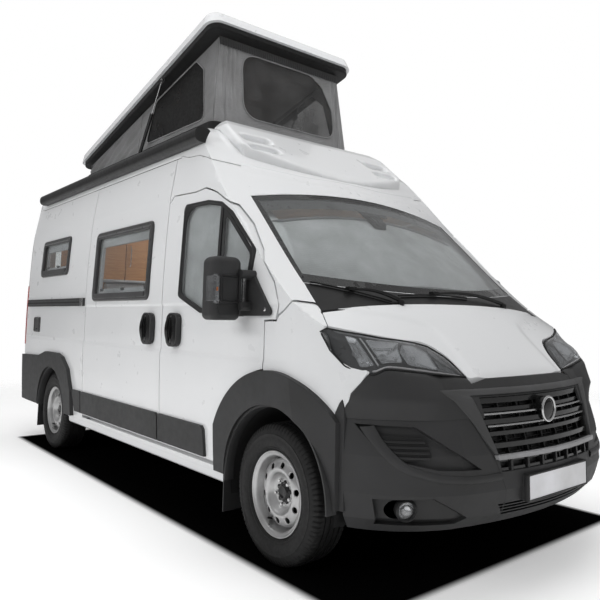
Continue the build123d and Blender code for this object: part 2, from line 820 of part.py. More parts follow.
GRILLE_BARS = (
    # height, thickness, depth behind the bumper's skin
    (834, 26, 6),
    (792, 20, 12),
    (742, 24, 6),
    (690, 20, 12),
    (640, 24, 6),
)
BAR_DEEP = 24
RIB_BEHIND, RIB_DEEP = 16, 24
RIB_PITCH = 128
GRILLE_ARC_R = 1900      # the nose in plan
EMBLEM_Z = 776
EMBLEM_R = 60


def nose_x_at(z):
    """The foremost point of the bumper's skin at a height."""
    for low, high in zip(BUMPER_STATIONS, BUMPER_STATIONS[1:]):
        if low[0] <= z <= high[0]:
            share = (z - low[0]) / (high[0] - low[0])
            return low[1] + share * (high[1] - low[1])


def arc_bar(z, thick, behind):
    """A bar that follows the nose in plan, from side to side."""
    front = nose_x_at(z) - behind
    with BuildPart() as bar:
        with BuildSketch(Plane.XY.offset(z - thick / 2)):
            with Locations((front - GRILLE_ARC_R, 0)):
                Circle(GRILLE_ARC_R)
                Circle(GRILLE_ARC_R - BAR_DEEP, mode=Mode.SUBTRACT)
            with Locations((front, 0)):
                Rectangle(400, 960, mode=Mode.INTERSECT)
        extrude(amount=thick)
    return bar.part


def rib(y, low_z, high_z):
    """An upright behind the bars, 8 wide, that follows the nose in side view."""
    setback = RIB_BEHIND + GRILLE_ARC_R - math.sqrt(GRILLE_ARC_R ** 2 - y ** 2)
    front = [(nose_x_at(z) - setback, z) for z in (low_z, (low_z + high_z) / 2, high_z)]
    back = [(x - RIB_DEEP, z) for x, z in reversed(front)]
    with BuildPart() as upright:
        with BuildSketch(Plane.XZ.offset(-y - 4)):
            with BuildLine():
                Polyline(*front, *back, close=True)
            make_face()
        extrude(amount=8)
    return upright.part


with BuildPart() as grille:
    for z, thick, behind in GRILLE_BARS:
        add(arc_bar(z, thick, behind))
    for z in (MESH_OUTLINE[1][1] + 8, MESH_OUTLINE[0][1] - 8):
        add(arc_bar(z, 16, 8))
    for outline in (GRILLE_OUTLINE, MESH_OUTLINE):
        for count in range(-2, 4):
            add(rib((count - 0.5) * RIB_PITCH, outline[1][1], outline[0][1]))
    with BuildPart(mode=Mode.PRIVATE) as openings:
        add(front_prism(GRILLE_OUTLINE))
        add(front_prism(MESH_OUTLINE))
    add(openings.part, mode=Mode.INTERSECT)
    with BuildSketch(Plane.YZ.offset(NOSE_X - 100)):
        with Locations((0, EMBLEM_Z)):
            Circle(EMBLEM_R)
    extrude(amount=46)
    with BuildSketch(Plane.YZ.offset(NOSE_X - 60)):
        with Locations((0, EMBLEM_Z)):
            Circle(EMBLEM_R - 12)
    extrude(amount=20, mode=Mode.SUBTRACT)
save(grille, "grille")

LAMP_OUTLINE = (
    (LAMP_OUTER[0] + 2, LAMP_OUTER[1] + 2), (LAMP_TIP[0] + 2, LAMP_TIP[1] + 3), (2520, 943), (2560, 943),
    (2560, 1250), (WING_TOP_X + 2, 1250), (WING_TOP_X + 2, 1206),
)
with BuildPart() as headlamp:
    add(side_prism(LAMP_OUTLINE))
    add(outer, mode=Mode.INTERSECT)
    add(envelope(70), mode=Mode.SUBTRACT)
    add(bonnet_room, mode=Mode.SUBTRACT)
with BuildPart() as front_lamps:
    add(headlamp.part)
    add(mirrored(headlamp.part))
    for side in (-1, 1):
        with BuildSketch(Plane.YZ.offset(2380)):
            with Locations((side * FOG_HALF, FOG_Z)):
                Circle(FOG_R - 2)
        extrude(amount=70)
save(front_lamps, "front_lamps")
# ---------------------------------------------------------------- rear doors, lamps, bumper
REAR_GLASS = (-470, 1690, 640, 480)   # centre y, centre z, width, height


def rear_window(margin, depth_from, depth_to):
    y, z, width, height = REAR_GLASS
    with BuildPart() as pane:
        with BuildSketch(Plane.YZ.offset(TAIL_X - 10)):
            with Locations((y, z)):
                RectangleRounded(width - 2 * margin, height - 2 * margin, 60)
        extrude(amount=260)
        if depth_to:
            add(envelope(depth_from), mode=Mode.INTERSECT)
            add(envelope(depth_to), mode=Mode.SUBTRACT)
    return pane.part


with BuildPart() as rear_door_right:
    add(rear_door_prism(G, REAR_DOOR_HALF - G, G))
    add(shell, mode=Mode.INTERSECT)
    add(rear_window(0, 0, 0), mode=Mode.SUBTRACT)
save(rear_door_right, "rear_door_right")
with BuildPart() as rear_door_left:
    add(mirrored(rear_door_right.part))
save(rear_door_left, "rear_door_left")
with BuildPart() as rear_glass_right:
    add(rear_window(FIT, 6, 14))
save(rear_glass_right, "rear_glass_right")
with BuildPart() as rear_glass_left:
    add(mirrored(rear_glass_right.part))
save(rear_glass_left, "rear_glass_left")

TAIL_LAMP_LOW_Z, TAIL_LAMP_HIGH_Z = 900, 1480
with BuildPart() as tail_lamps:
    with BuildSketch(Plane.XZ.offset(REAR_DOOR_HALF + 12)):
        with BuildLine():
            Polyline((TAIL_X, TAIL_LAMP_LOW_Z), (REAR_FACE_X + 62, TAIL_LAMP_LOW_Z),
                     (REAR_FACE_X + 62, TAIL_LAMP_HIGH_Z), (TAIL_X, TAIL_LAMP_HIGH_Z), close=True)
        make_face()
    extrude(amount=200)
    add(side_skin(-4), mode=Mode.INTERSECT)
    add(side_outer, mode=Mode.SUBTRACT)
    mirror(about=Plane.XZ)
save(tail_lamps, "tail_lamps")

REAR_BUMPER_TOP_Z = 530
REAR_BUMPER_LOW_Z = 365
with BuildPart() as rear_bumper:
    with BuildSketch(Plane.XY.offset(REAR_BUMPER_LOW_Z)):
        with BuildLine():
            Polyline((TAIL_X, 0), (TAIL_X, 860), (TAIL_X + 95, 1018), (REAR_FACE_X + 60, 1030),
                     (REAR_FACE_X + 60, 1010), (REAR_FACE_X, 940), (REAR_FACE_X, 0), close=True)
        make_face()
        mirror(about=Plane.XZ)
    extrude(amount=REAR_BUMPER_TOP_Z - REAR_BUMPER_LOW_Z)
    chamfer(edges().group_by(Axis.Z)[-1].group_by(Axis.X)[0], 12)
    with BuildSketch(Plane.YZ.offset(TAIL_X)):
        with Locations((0, REAR_BUMPER_LOW_Z + 60)):
            Rectangle(620, 90)
    extrude(amount=14, mode=Mode.SUBTRACT)
    add(side_outer, mode=Mode.SUBTRACT)
save(rear_bumper, "rear_bumper")

# ---------------------------------------------------------------- floor, wheelhouses, underbody
FLOOR_HALF = 935
FLOOR_REAR_X = REAR_FACE_X + 85
LOAD_FLOOR_FRONT_X = DOOR_REAR_X - 12
WHEELHOUSE_HALF = 711
WHEELHOUSE_SKIN = 5
CAB_FLOOR_FRONT_X = 1320
FOOTWELL_HALF = 560
WHEELHOUSE_R = REAR_ARCH_R + 12


def wheelhouse_drum(side, skin):
    """The room of a rear wheel inside the body; skin makes it smaller and opens its outboard end."""
    with BuildPart() as drum:
        with BuildSketch(Plane.XZ.offset(side * (WHEELHOUSE_HALF + skin))):
            with Locations((REAR_AXLE_X, TYRE_R)):
                Circle(WHEELHOUSE_R - skin)
        extrude(amount=side * (FLOOR_HALF - WHEELHOUSE_HALF + 10 * skin))
    return drum.part


with BuildPart() as floor_pan:
    with BuildSketch(Plane.XY.offset(FLOOR_Z - FLOOR_THICK)):
        with Locations(((FLOOR_REAR_X + LOAD_FLOOR_FRONT_X) / 2, 0)):
            Rectangle(LOAD_FLOOR_FRONT_X - FLOOR_REAR_X, 2 * WAIST_HALF)
    extrude(amount=FLOOR_THICK)
    add(side_inner, mode=Mode.INTERSECT)
    with BuildSketch(Plane.XY.offset(FLOOR_Z - FLOOR_THICK)):
        with Locations(((LOAD_FLOOR_FRONT_X + CAB_FLOOR_FRONT_X) / 2, 0)):
            Rectangle(CAB_FLOOR_FRONT_X - LOAD_FLOOR_FRONT_X, 2 * FLOOR_HALF)
        with Locations((CAB_FLOOR_FRONT_X + 170, 0)):
            Rectangle(342, 2 * FOOTWELL_HALF)
    extrude(amount=FLOOR_THICK)
    for x in (-2200, -1150, -400, 350):
        with BuildSketch(Plane.XY.offset(FLOOR_Z - FLOOR_THICK)):
            with Locations((x, 0)):
                Rectangle(70, 2 * 690)
        extrude(amount=-60)
    for side in (-1, 1):
        add(wheelhouse_drum(side, WHEELHOUSE_SKIN), mode=Mode.SUBTRACT)
save(floor_pan, "floor_pan")

# the rear wheelhouses are pressings that stand on the floor
with BuildPart() as wheelhouses:
    for side in (-1, 1):
        add(wheelhouse_drum(side, 0))
        add(wheelhouse_drum(side, WHEELHOUSE_SKIN), mode=Mode.SUBTRACT)
    split(bisect_by=Plane.XY.offset(FLOOR_Z), keep=Keep.TOP)
save(wheelhouses, "wheelhouses")

BULKHEAD_X = CAB_FLOOR_FRONT_X + 341
with BuildPart() as bulkhead:
    with BuildSketch(Plane.XZ):
        with BuildLine():
            Polyline((BULKHEAD_X, FLOOR_Z - FLOOR_THICK), (BULKHEAD_X + 190, 800), (BULKHEAD_X + 190, 1190),
                     (BULKHEAD_X + 210, 1190), (BULKHEAD_X + 210, 795), (BULKHEAD_X + 20, FLOOR_Z - FLOOR_THICK),
                     close=True)
        make_face()
    extrude(amount=FOOTWELL_HALF, both=True)
    # front wheelhouse liners: the wall behind the tyre and the closing wall over it
    for side in (-1, 1):
        with BuildSketch(Plane.XZ.offset(side * FOOTWELL_HALF)):
            with BuildLine():
                Polyline((CAB_FLOOR_FRONT_X, 500), (CAB_FLOOR_FRONT_X, 800), (1500, 900), (2010, 900), (2010, 880),
                         (1512, 880), (CAB_FLOOR_FRONT_X + 12, 790), (CAB_FLOOR_FRONT_X + 12, 500), close=True)
            make_face()
        extrude(amount=side * 370)
save(bulkhead, "bulkhead")

with BuildPart() as engine_block:
    with BuildSketch(Plane.XY.offset(330)):
        with Locations((2050, 60)):
            RectangleRounded(310, 780, 40)
    extrude(amount=520)
save(engine_block, "engine_block")

with BuildPart() as underbody_tanks:
    for x, y, length, width, height in ((600, 330, 700, 520, 190), (-560, -320, 800, 340, 170)):
        with BuildSketch(Plane.XY.offset(435 - height)):
            with Locations((x, y)):
                RectangleRounded(length, width, 60)
        extrude(amount=height)
save(underbody_tanks, "underbody_tanks")

# front subframe with the lower arms and the struts, and the steering knuckles between them
ARM_Z = 215
ARM_THICK = 44
KNUCKLE_TOP_Z = 478
STRUT_TOWER_HALF = 690
HUB_FACE = 17            # wheel mounting face, outboard of the tyre's middle
SPIGOT_R = 30.95
HUB_R = 60
with BuildPart() as front_subframe:
    with BuildSketch(Plane.XY.offset(ARM_Z - ARM_THICK / 2)):
        with Locations((FRONT_AXLE_X - 90, 0)):
            RectangleRounded(330, 2 * 400, 40)
        for side in (-1, 1):
            with BuildLine():
                Polyline((FRONT_AXLE_X - 240, side * 390), (FRONT_AXLE_X + 40, side * 390),
                         (FRONT_AXLE_X + 34, side * (KINGPIN_HALF - 40)),
                         (FRONT_AXLE_X - 34, side * (KINGPIN_HALF - 40)), close=True)
            make_face()
            with Locations((FRONT_AXLE_X, side * KINGPIN_HALF)):
                Circle(44)
    extrude(amount=ARM_THICK)
    for side in (-1, 1):
        with BuildSketch(Plane.XY.offset(ARM_Z)):
            with Locations((FRONT_AXLE_X - 150, side * 330)):
                Circle(38)
        extrude(amount=FLOOR_Z - FLOOR_THICK - ARM_Z)
        with BuildSketch(Plane.XY.offset(KNUCKLE_TOP_Z + CLEAR)):
            with Locations((FRONT_AXLE_X, side * STRUT_TOWER_HALF)):
                Circle(30)
        extrude(amount=880 - KNUCKLE_TOP_Z - CLEAR)
        with BuildSketch(Plane.XY.offset(620)):
            with Locations((FRONT_AXLE_X, side * STRUT_TOWER_HALF)):
                Circle(50)
        extrude(amount=230)
        with BuildSketch(Plane.XY.offset(KNUCKLE_TOP_Z + CLEAR)):
            with Locations((FRONT_AXLE_X, side * (STRUT_TOWER_HALF + KINGPIN_HALF) / 2)):
                Rectangle(60, KINGPIN_HALF - STRUT_TOWER_HALF)
            with Locations((FRONT_AXLE_X, side * KINGPIN_HALF)):
                Circle(30)
        extrude(amount=16)
save(front_subframe, "front_subframe")


def hub_disc(x, y_from, y_to, radius):
    """A turned disc on a wheel's axle line between two distances from the middle of the van."""
    with BuildPart() as disc:
        with BuildSketch(Plane.XZ.offset(-y_from)):
            with Locations((x, TYRE_R)):
                Circle(radius)
        extrude(amount=y_from - y_to)
    return disc.part


def knuckle(side):
    face_y = FRONT_TRACK / 2 + HUB_FACE - 1
    with BuildPart() as upright:
        with BuildSketch(Plane.XY.offset(ARM_Z + ARM_THICK / 2 + CLEAR)):
            with Locations((FRONT_AXLE_X, side * KINGPIN_HALF)):
                Circle(34)
        extrude(amount=KNUCKLE_TOP_Z - ARM_Z - ARM_THICK / 2 - CLEAR)
        add(hub_disc(FRONT_AXLE_X, side * (KINGPIN_HALF - 20), side * face_y, HUB_R))
        add(hub_disc(FRONT_AXLE_X, side * 862, side * 886, 140))
        add(hub_disc(FRONT_AXLE_X, side * face_y, side * (face_y + 22), SPIGOT_R))
        with BuildSketch(Plane.XY.offset(TYRE_R - 70)):
            with Locations((FRONT_AXLE_X - 70, side * (KINGPIN_HALF - 25))):
                RectangleRounded(150, 40, 15)
        extrude(amount=30)
    return upright


knuckle_right = knuckle(-1)
save(knuckle_right, "knuckle_right")
knuckle_left = knuckle(1)
save(knuckle_left, "knuckle_left")

SPRING_HALF = 560
SPRING_REACH = 690
with BuildPart() as rear_axle:
    add(hub_disc(REAR_AXLE_X, -780, 780, 45))
    for side in (-1, 1):
        face_y = REAR_TRACK / 2 + HUB_FACE - 1
        add(hub_disc(REAR_AXLE_X, side * 770, side * face_y, HUB_R))
        add(hub_disc(REAR_AXLE_X, side * 790, side * 870, 132))
        add(hub_disc(REAR_AXLE_X, side * face_y, side * (face_y + 22), SPIGOT_R))
        with BuildSketch(Plane.XZ.offset(side * (SPRING_HALF - 35))):
            with BuildLine():
                front = REAR_AXLE_X + SPRING_REACH
                rear = REAR_AXLE_X - SPRING_REACH
                ThreePointArc((rear, 430), (REAR_AXLE_X, 400), (front, 430))
                Line((front, 430), (front, 412))
                ThreePointArc((front, 412), (REAR_AXLE_X, 378), (rear, 412))
                Line((rear, 412), (rear, 430))
            make_face()
        extrude(amount=side * 70)
save(rear_axle, "rear_axle")

# ---------------------------------------------------------------- wheels
WHEELS = (
    # name, axle x, side, track
    ("front_right", FRONT_AXLE_X, -1, FRONT_TRACK),
    ("front_left", FRONT_AXLE_X, 1, FRONT_TRACK),
    ("rear_right", REAR_AXLE_X, -1, REAR_TRACK),
    ("rear_left", REAR_AXLE_X, 1, REAR_TRACK),
)
RIM_HOLES = 10
BEAD_R = RIM_R - 13
with BuildPart() as tyre_form:
    half = TYRE_WIDTH / 2
    bead = RIM_WIDTH / 2 - 10 - FIT
    with BuildSketch(Plane.YZ):
        with BuildLine():
            Polyline((bead, RIM_R + 3), (bead, BEAD_R + FIT), (-bead, BEAD_R + FIT), (-bead, RIM_R + 3))
            for way in (-1, 1):
                ThreePointArc((way * bead, RIM_R + 3), (way * half, RIM_R + 62), (way * (half - 20), TYRE_R - 10))
                ThreePointArc((way * (half - 20), TYRE_R - 10), (way * (half - 30), TYRE_R - 4),
                              (way * (half - 42), TYRE_R - 1))
                Line((way * (half - 42), TYRE_R - 1), (0, TYRE_R))
        make_face()
    revolve(axis=Axis.Y)
with BuildPart() as rim_form:
    rim_half = RIM_WIDTH / 2
    with BuildSketch(Plane.YZ):
        with BuildLine():
            Polyline((-rim_half, RIM_R), (-rim_half + 8, RIM_R), (-rim_half + 10, BEAD_R),
                     (rim_half - 10, BEAD_R), (rim_half - 8, RIM_R), (rim_half, RIM_R),
                     (rim_half, RIM_R - 8), (rim_half - 6, RIM_R - 24), (rim_half - 50, RIM_R - 34),
                     (rim_half - 54, RIM_R - 60), (rim_half - 30, 130), (rim_half - 32, 95),
                     (rim_half - 62, 80), (rim_half - 62, 31), (rim_half - 73, 31), (rim_half - 73, 84),
                     (rim_half - 44, 100), (rim_half - 42, 126), (rim_half - 66, RIM_R - 62),
                     (rim_half - 66, RIM_R - 22), (-rim_half + 2, RIM_R - 22), (-rim_half, RIM_R - 8), close=True)
        make_face()
    revolve(axis=Axis.Y)
    with BuildSketch(Plane.XZ.offset(-rim_half)):
        with PolarLocations(127, RIM_HOLES):
            Circle(17)
    extrude(amount=rim_half, mode=Mode.SUBTRACT)
for wheel_name, axle_x, side, track in WHEELS:
    hub = Location((axle_x, side * track / 2, TYRE_R), (0, 0, 0 if side > 0 else 180))
    with BuildPart() as tyre:
        add(tyre_form.part.moved(hub))
    save(tyre, f"tyre_{wheel_name}")
    with BuildPart() as rim:
        add(rim_form.part.moved(hub))
    save(rim, f"rim_{wheel_name}")

# ---------------------------------------------------------------- pop-top roof
open_rad = math.radians(ROOF_OPEN_DEG)
ALONG = Vector(math.cos(open_rad), 0, math.sin(open_rad))
ABOVE = Vector(-math.sin(open_rad), 0, math.cos(open_rad))
HINGE = Vector(HINGE_X, 0, HINGE_Z)


def raised(u, w, y=0):
    """A point of the closed roof, u along and w above the hinge line, where it stands when open."""
    return HINGE + ALONG * u + ABOVE * w + Vector(0, y, 0)


def raised_plane(w):
    return Plane(origin=raised(0, w), x_dir=ALONG, z_dir=ABOVE)


def raised_side(y):
    """A vertical plane whose x runs along the raised roof and whose y stands square on it."""
    return Plane(origin=raised(0, 0, y), x_dir=ALONG, z_dir=(0, -1, 0))


SHELL_MID_U = (SHELL_REAR_U + SHELL_FRONT_U) / 2
SHELL_LENGTH = SHELL_FRONT_U - SHELL_REAR_U
with BuildPart() as roof_shell:
    with BuildSketch(raised_plane(SHELL_RIM_W)):
        with Locations((SHELL_MID_U, 0)):
            RectangleRounded(SHELL_LENGTH, 2 * SHELL_HALF, 110)
    extrude(amount=SHELL_HEIGHT, taper=SHELL_TAPER)
    top_edges = faces().sort_by(Axis(HINGE, ABOVE))[-1].edges()
    fillet(top_edges, 30)
    with BuildSketch(raised_plane(SHELL_RIM_W)):
        with Locations((SHELL_MID_U, 0)):
            RectangleRounded(SHELL_LENGTH - 2 * SHELL_SKIN, 2 * (SHELL_HALF - SHELL_SKIN), 90)
    extrude(amount=SHELL_HEIGHT - SHELL_SKIN, taper=SHELL_TAPER, mode=Mode.SUBTRACT)
save(roof_shell, "roof_shell")

LINER_WIDTH = 50
LINER_HALF = SHELL_HALF - 25
STRUT_HALF = 690         # the gas struts stand outside the tent, under the lid's overhang
STRUT_EYE_U, STRUT_EYE_W = 2225, 25
STRUT_PIN_R = 5
with BuildPart() as roof_liner:
    with BuildSketch(raised_plane(SHELL_RIM_W - LINER_DROP)):
        with Locations((SHELL_MID_U, 0)):
            RectangleRounded(SHELL_LENGTH - 50, 2 * LINER_HALF, 90)
            RectangleRounded(SHELL_LENGTH - 50 - 2 * LINER_WIDTH, 2 * (LINER_HALF - LINER_WIDTH), 50,
                             mode=Mode.SUBTRACT)
    extrude(amount=LINER_DROP)
    for side in (-1, 1):
        with BuildSketch(raised_side(side * LINER_HALF)):
            with Locations((STRUT_EYE_U, (STRUT_EYE_W + SHELL_RIM_W - LINER_DROP) / 2)):
                Rectangle(70, SHELL_RIM_W - LINER_DROP - STRUT_EYE_W + 30)
        extrude(amount=side * 8)
        with BuildSketch(raised_side(side * (LINER_HALF - 1))):
            with Locations((STRUT_EYE_U, STRUT_EYE_W)):
                Circle(STRUT_PIN_R)
        extrude(amount=-side * (STRUT_HALF + 12 - LINER_HALF + 1))
        with BuildSketch(raised_side(side * HINGE_HALF)):
            with BuildLine():
                Polyline((-16, -14), (-16, 16), (300, SHELL_RIM_W - 2), (SHELL_REAR_U + 60, SHELL_RIM_W - 2),
                         (SHELL_REAR_U + 60, SHELL_RIM_W - LINER_DROP), (40, -14), close=True)
            make_face()
            Circle(7, mode=Mode.SUBTRACT)
        extrude(amount=7, both=True)
save(roof_liner, "roof_liner")

STRUT_FOOT = Vector(-790, 0, 2560)
BASE_HALF = TENT_HALF + 30
BASE_MID_X = (TENT_FRONT_X + TENT_REAR_X) / 2
BASE_LENGTH = TENT_FRONT_X - TENT_REAR_X + 60
BASE_BAR = 75            # width of the frame's four bars


def base_bars(rails):
    """The frame's two side bars, or its two cross bars, standing on the roof skin."""
    with BuildPart() as bars:
        with BuildSketch(Plane.XY.offset(2380)):
            with Locations((BASE_MID_X, 0)):
                RectangleRounded(BASE_LENGTH, 2 * BASE_HALF, 60)
                Rectangle(BASE_LENGTH - 2 * BASE_BAR, 2 * (BASE_HALF - BASE_BAR), mode=Mode.SUBTRACT)
                if rails:
                    Rectangle(BASE_LENGTH - 2 * BASE_BAR, 2 * BASE_HALF, mode=Mode.INTERSECT)
                else:
                    Rectangle(BASE_LENGTH - 2 * BASE_BAR, 2 * BASE_HALF, mode=Mode.SUBTRACT)
        extrude(amount=BASE_TOP_Z - 2380)
    return bars.part


with BuildPart() as roof_base_frame:
    add(base_bars(False))
    for side in (-1, 1):
        for offset_y in (-22, 14):
            with BuildSketch(Plane.XZ.offset(-side * HINGE_HALF + offset_y)):
                with BuildLine():
                    Polyline((HINGE_X - 16, HINGE_Z - 16), (HINGE_X - 16, HINGE_Z + 14), (HINGE_X + 30, HINGE_Z + 14),
                             (HINGE_X + 250, 2500), (HINGE_X + 130, 2440), (HINGE_X + 20, HINGE_Z - 60), close=True)
                make_face()
            extrude(amount=8)
        with BuildSketch(Plane.XZ.offset(-side * HINGE_HALF + 22)):
            with Locations((HINGE_X, HINGE_Z)):
                Circle(6.9)
        extrude(amount=-44)
    add(outer, mode=Mode.SUBTRACT)
save(roof_base_frame, "roof_base_frame")

with BuildPart() as roof_base_rails:
    add(base_bars(True))
    for side in (-1, 1):
        with BuildSketch(Plane.XZ.offset(-side * (BASE_HALF - 5))):
            with Locations((STRUT_FOOT.X, STRUT_FOOT.Z)):
                Circle(STRUT_PIN_R)
        extrude(amount=-side * (STRUT_HALF + 17 - BASE_HALF))
    add(outer, mode=Mode.SUBTRACT)
save(roof_base_rails, "roof_base_rails")


def tent_block(skin):
    """The wedge between the base frame and the raised roof, its walls leaning in."""
    low_z = BASE_TOP_Z + 2
    half = TENT_HALF - skin
    with BuildPart() as block:
        with BuildSketch(Plane.XY.offset(low_z - 1 + (0 if skin else 1))):
            with Locations(((TENT_FRONT_X + TENT_REAR_X) / 2, 0)):
                Rectangle(TENT_FRONT_X - TENT_REAR_X - 2 * skin, 2 * half)
        extrude(amount=1000, taper=math.degrees(math.atan(TENT_LEAN)))
        split(bisect_by=raised_plane(SHELL_RIM_W - LINER_DROP - 2 + (1 if skin else 0)), keep=Keep.BOTTOM)
    return block.part


# windows of the tent: the arched one in front and a slanted one each side
TENT_WINDOW_HALF = 450
TENT_WINDOW_LOW_Z = 2690
TENT_WINDOW_HIGH_Z = 3290
TENT_SIDE_WINDOW = ((-800, 2672), (-815, 2950), (-640, 3050), (0, 3190), (140, 3040), (225, 2662))
with BuildPart() as tent:
    add(tent_block(0))
    add(tent_block(TENT_SKIN), mode=Mode.SUBTRACT)
    with BuildSketch(Plane.YZ.offset(TENT_FRONT_X - 150)):
        with BuildLine():
            arch_z = TENT_WINDOW_HIGH_Z - 230
            Polyline((-TENT_WINDOW_HALF, arch_z), (-TENT_WINDOW_HALF, TENT_WINDOW_LOW_Z),
                     (TENT_WINDOW_HALF, TENT_WINDOW_LOW_Z), (TENT_WINDOW_HALF, arch_z))
            for way in (-1, 1):
                ThreePointArc((way * TENT_WINDOW_HALF, arch_z), (way * 360, TENT_WINDOW_HIGH_Z - 60),
                              (way * 180, TENT_WINDOW_HIGH_Z))
            Line((-180, TENT_WINDOW_HIGH_Z), (180, TENT_WINDOW_HIGH_Z))
        make_face()
    extrude(amount=300, mode=Mode.SUBTRACT)
    with BuildSketch(Plane.XZ):
        with BuildLine():
            Polyline(*TENT_SIDE_WINDOW, close=True)
        make_face()
        fillet(vertices(), 40)
    extrude(amount=1000, both=True, mode=Mode.SUBTRACT)
save(tent, "tent")

# gas struts: barrel on the base frame, rod up to the shell
STRUT_EYE = raised(STRUT_EYE_U, STRUT_EYE_W)
STRUT_BARREL = 395
STRUT_ROD = 350
STRUT_EYE_INNER_R, STRUT_EYE_OUTER_R = 12, 21
STRUT_EYE_GAP = (85, 128, 172)      # the rod's eye is a hook, open between these angles from the rod's line
strut_dir = (STRUT_EYE - STRUT_FOOT).normalized()
strut_lean = math.degrees(math.atan2(strut_dir.Z, strut_dir.X))
with BuildPart() as strut_barrels:
    for side in (-1, 1):
        foot = Plane(origin=STRUT_FOOT + Vector(0, side * STRUT_HALF, 0), x_dir=(0, 1, 0), z_dir=strut_dir)
        with BuildSketch(foot.offset(30)):
            Circle(14)
            Circle(5.1, mode=Mode.SUBTRACT)
        extrude(amount=STRUT_BARREL - 30)
        with BuildSketch(foot.offset(14)):
            Circle(9)
        extrude(amount=16)
        with BuildSketch(Plane.XZ.offset(-side * STRUT_HALF - 8)):
            with Locations((STRUT_FOOT.X, STRUT_FOOT.Z)):
                Circle(16)
                Circle(STRUT_PIN_R + 1, mode=Mode.SUBTRACT)
        extrude(amount=16)
save(strut_barrels, "strut_barrels")
with BuildPart() as strut_rods:
    for side in (-1, 1):
        eye = Plane(origin=STRUT_EYE + Vector(0, side * STRUT_HALF, 0), x_dir=(0, 1, 0), z_dir=-strut_dir)
        with BuildSketch(eye.offset(STRUT_EYE_OUTER_R - 2)):
            Circle(5)
        extrude(amount=STRUT_ROD)
        with BuildSketch(Plane.XZ.offset(-side * STRUT_HALF - 5)):
            with Locations((STRUT_EYE.X, STRUT_EYE.Z)):
                Circle(STRUT_EYE_OUTER_R)
                Circle(STRUT_EYE_INNER_R, mode=Mode.SUBTRACT)
            with BuildLine():
                corners = [(STRUT_EYE.X, STRUT_EYE.Z)]
                for angle in STRUT_EYE_GAP:
                    turn = math.radians(strut_lean + angle)
                    corners.append((STRUT_EYE.X + 40 * math.cos(turn), STRUT_EYE.Z + 40 * math.sin(turn)))
                Polyline(*corners, close=True)
            make_face(mode=Mode.SUBTRACT)
        extrude(amount=10)
save(strut_rods, "strut_rods")

FAIRING_TIP_X = 1112
FAIRING_END_X = 943
FAIRING_HALF = 745
FAIRING_RECESS = ((1000, 2262, 34), (900, 2352, 44))     # x, z and half-height of the two moulded steps
with BuildPart() as roof_fairing:
    with BuildSketch(Plane.XZ):
        with BuildLine():
            Polyline((FAIRING_TIP_X, 2080), (FAIRING_TIP_X, 2160), (FAIRING_TIP_X - 45, 2215), (720, 2505),
                     (640, 2552), (545, 2564), (545, 2440), (700, 2100), close=True)
        make_face()
    extrude(amount=FAIRING_HALF, both=True)
    with BuildSketch(Plane.YZ.offset(400)):
        with BuildLine():
            Polyline((-725, 2050), (-735, 2300), (-800, 2430), (-668, 2570), (668, 2570), (800, 2430), (735, 2300),
                     (725, 2050), close=True)
        make_face()
    extrude(amount=800, mode=Mode.INTERSECT)
    with BuildSketch(Plane.XY.offset(2000)):
        with BuildLine():
            ThreePointArc((FAIRING_END_X - 6, -FAIRING_HALF), (FAIRING_TIP_X, 0), (FAIRING_END_X - 6, FAIRING_HALF))
            Polyline((FAIRING_END_X - 6, FAIRING_HALF), (500, FAIRING_HALF), (500, -FAIRING_HALF),
                     (FAIRING_END_X - 6, -FAIRING_HALF))
        make_face()
    extrude(amount=800, mode=Mode.INTERSECT)
    for side in (-1, 1):
        for x, z, half_height in FAIRING_RECESS:
            slope = Plane(origin=(x - 70, side * 560, z + 30), x_dir=(0, 1, 0), z_dir=(0.65, 0, 0.76))
            with BuildSketch(slope.offset(40)):
                RectangleRounded(230, 2 * half_height, half_height * 0.8)
            extrude(amount=-58, mode=Mode.SUBTRACT)
    add(outer, mode=Mode.SUBTRACT)
save(roof_fairing, "roof_fairing")

AWNING_FRONT_X = 850
AWNING_REAR_X = -2390
with BuildPart() as awning:
    with BuildSketch(Plane.YZ.offset(AWNING_REAR_X)):
        with Locations((-968, 2345)):
            RectangleRounded(116, 96, 40)
    extrude(amount=AWNING_FRONT_X - AWNING_REAR_X)
    add(side_outer, mode=Mode.SUBTRACT)
save(awning, "awning")

# ---------------------------------------------------------------- what shows through the glass
SEAT_X = 900
SEAT_HALF = 390
with BuildPart() as cab_seats:
    for side in (-1, 1):
        with BuildSketch(Plane.XY.offset(FLOOR_Z)):
            with Locations((SEAT_X, side * SEAT_HALF)):
                RectangleRounded(380, 400, 30)
        extrude(amount=280)
        with BuildSketch(Plane.XY.offset(FLOOR_Z + 280)):
            with Locations((SEAT_X, side * SEAT_HALF)):
                RectangleRounded(520, 500, 60)
        extrude(amount=150)
        with BuildSketch(Plane.XZ.offset(-side * SEAT_HALF - 235)):
            with BuildLine():
                Polyline((SEAT_X - 130, FLOOR_Z + 380), (SEAT_X - 300, FLOOR_Z + 1010),
                         (SEAT_X - 400, FLOOR_Z + 1000), (SEAT_X - 260, FLOOR_Z + 380), close=True)
            make_face()
        extrude(amount=470)
        with BuildSketch(Plane.XZ.offset(-side * SEAT_HALF - 125)):
            with BuildLine():
                Polyline((SEAT_X - 300, FLOOR_Z + 990), (SEAT_X - 335, FLOOR_Z + 1200),
                         (SEAT_X - 420, FLOOR_Z + 1190), (SEAT_X - 390, FLOOR_Z + 990), close=True)
            make_face()
        extrude(amount=250)
save(cab_seats, "cab_seats")

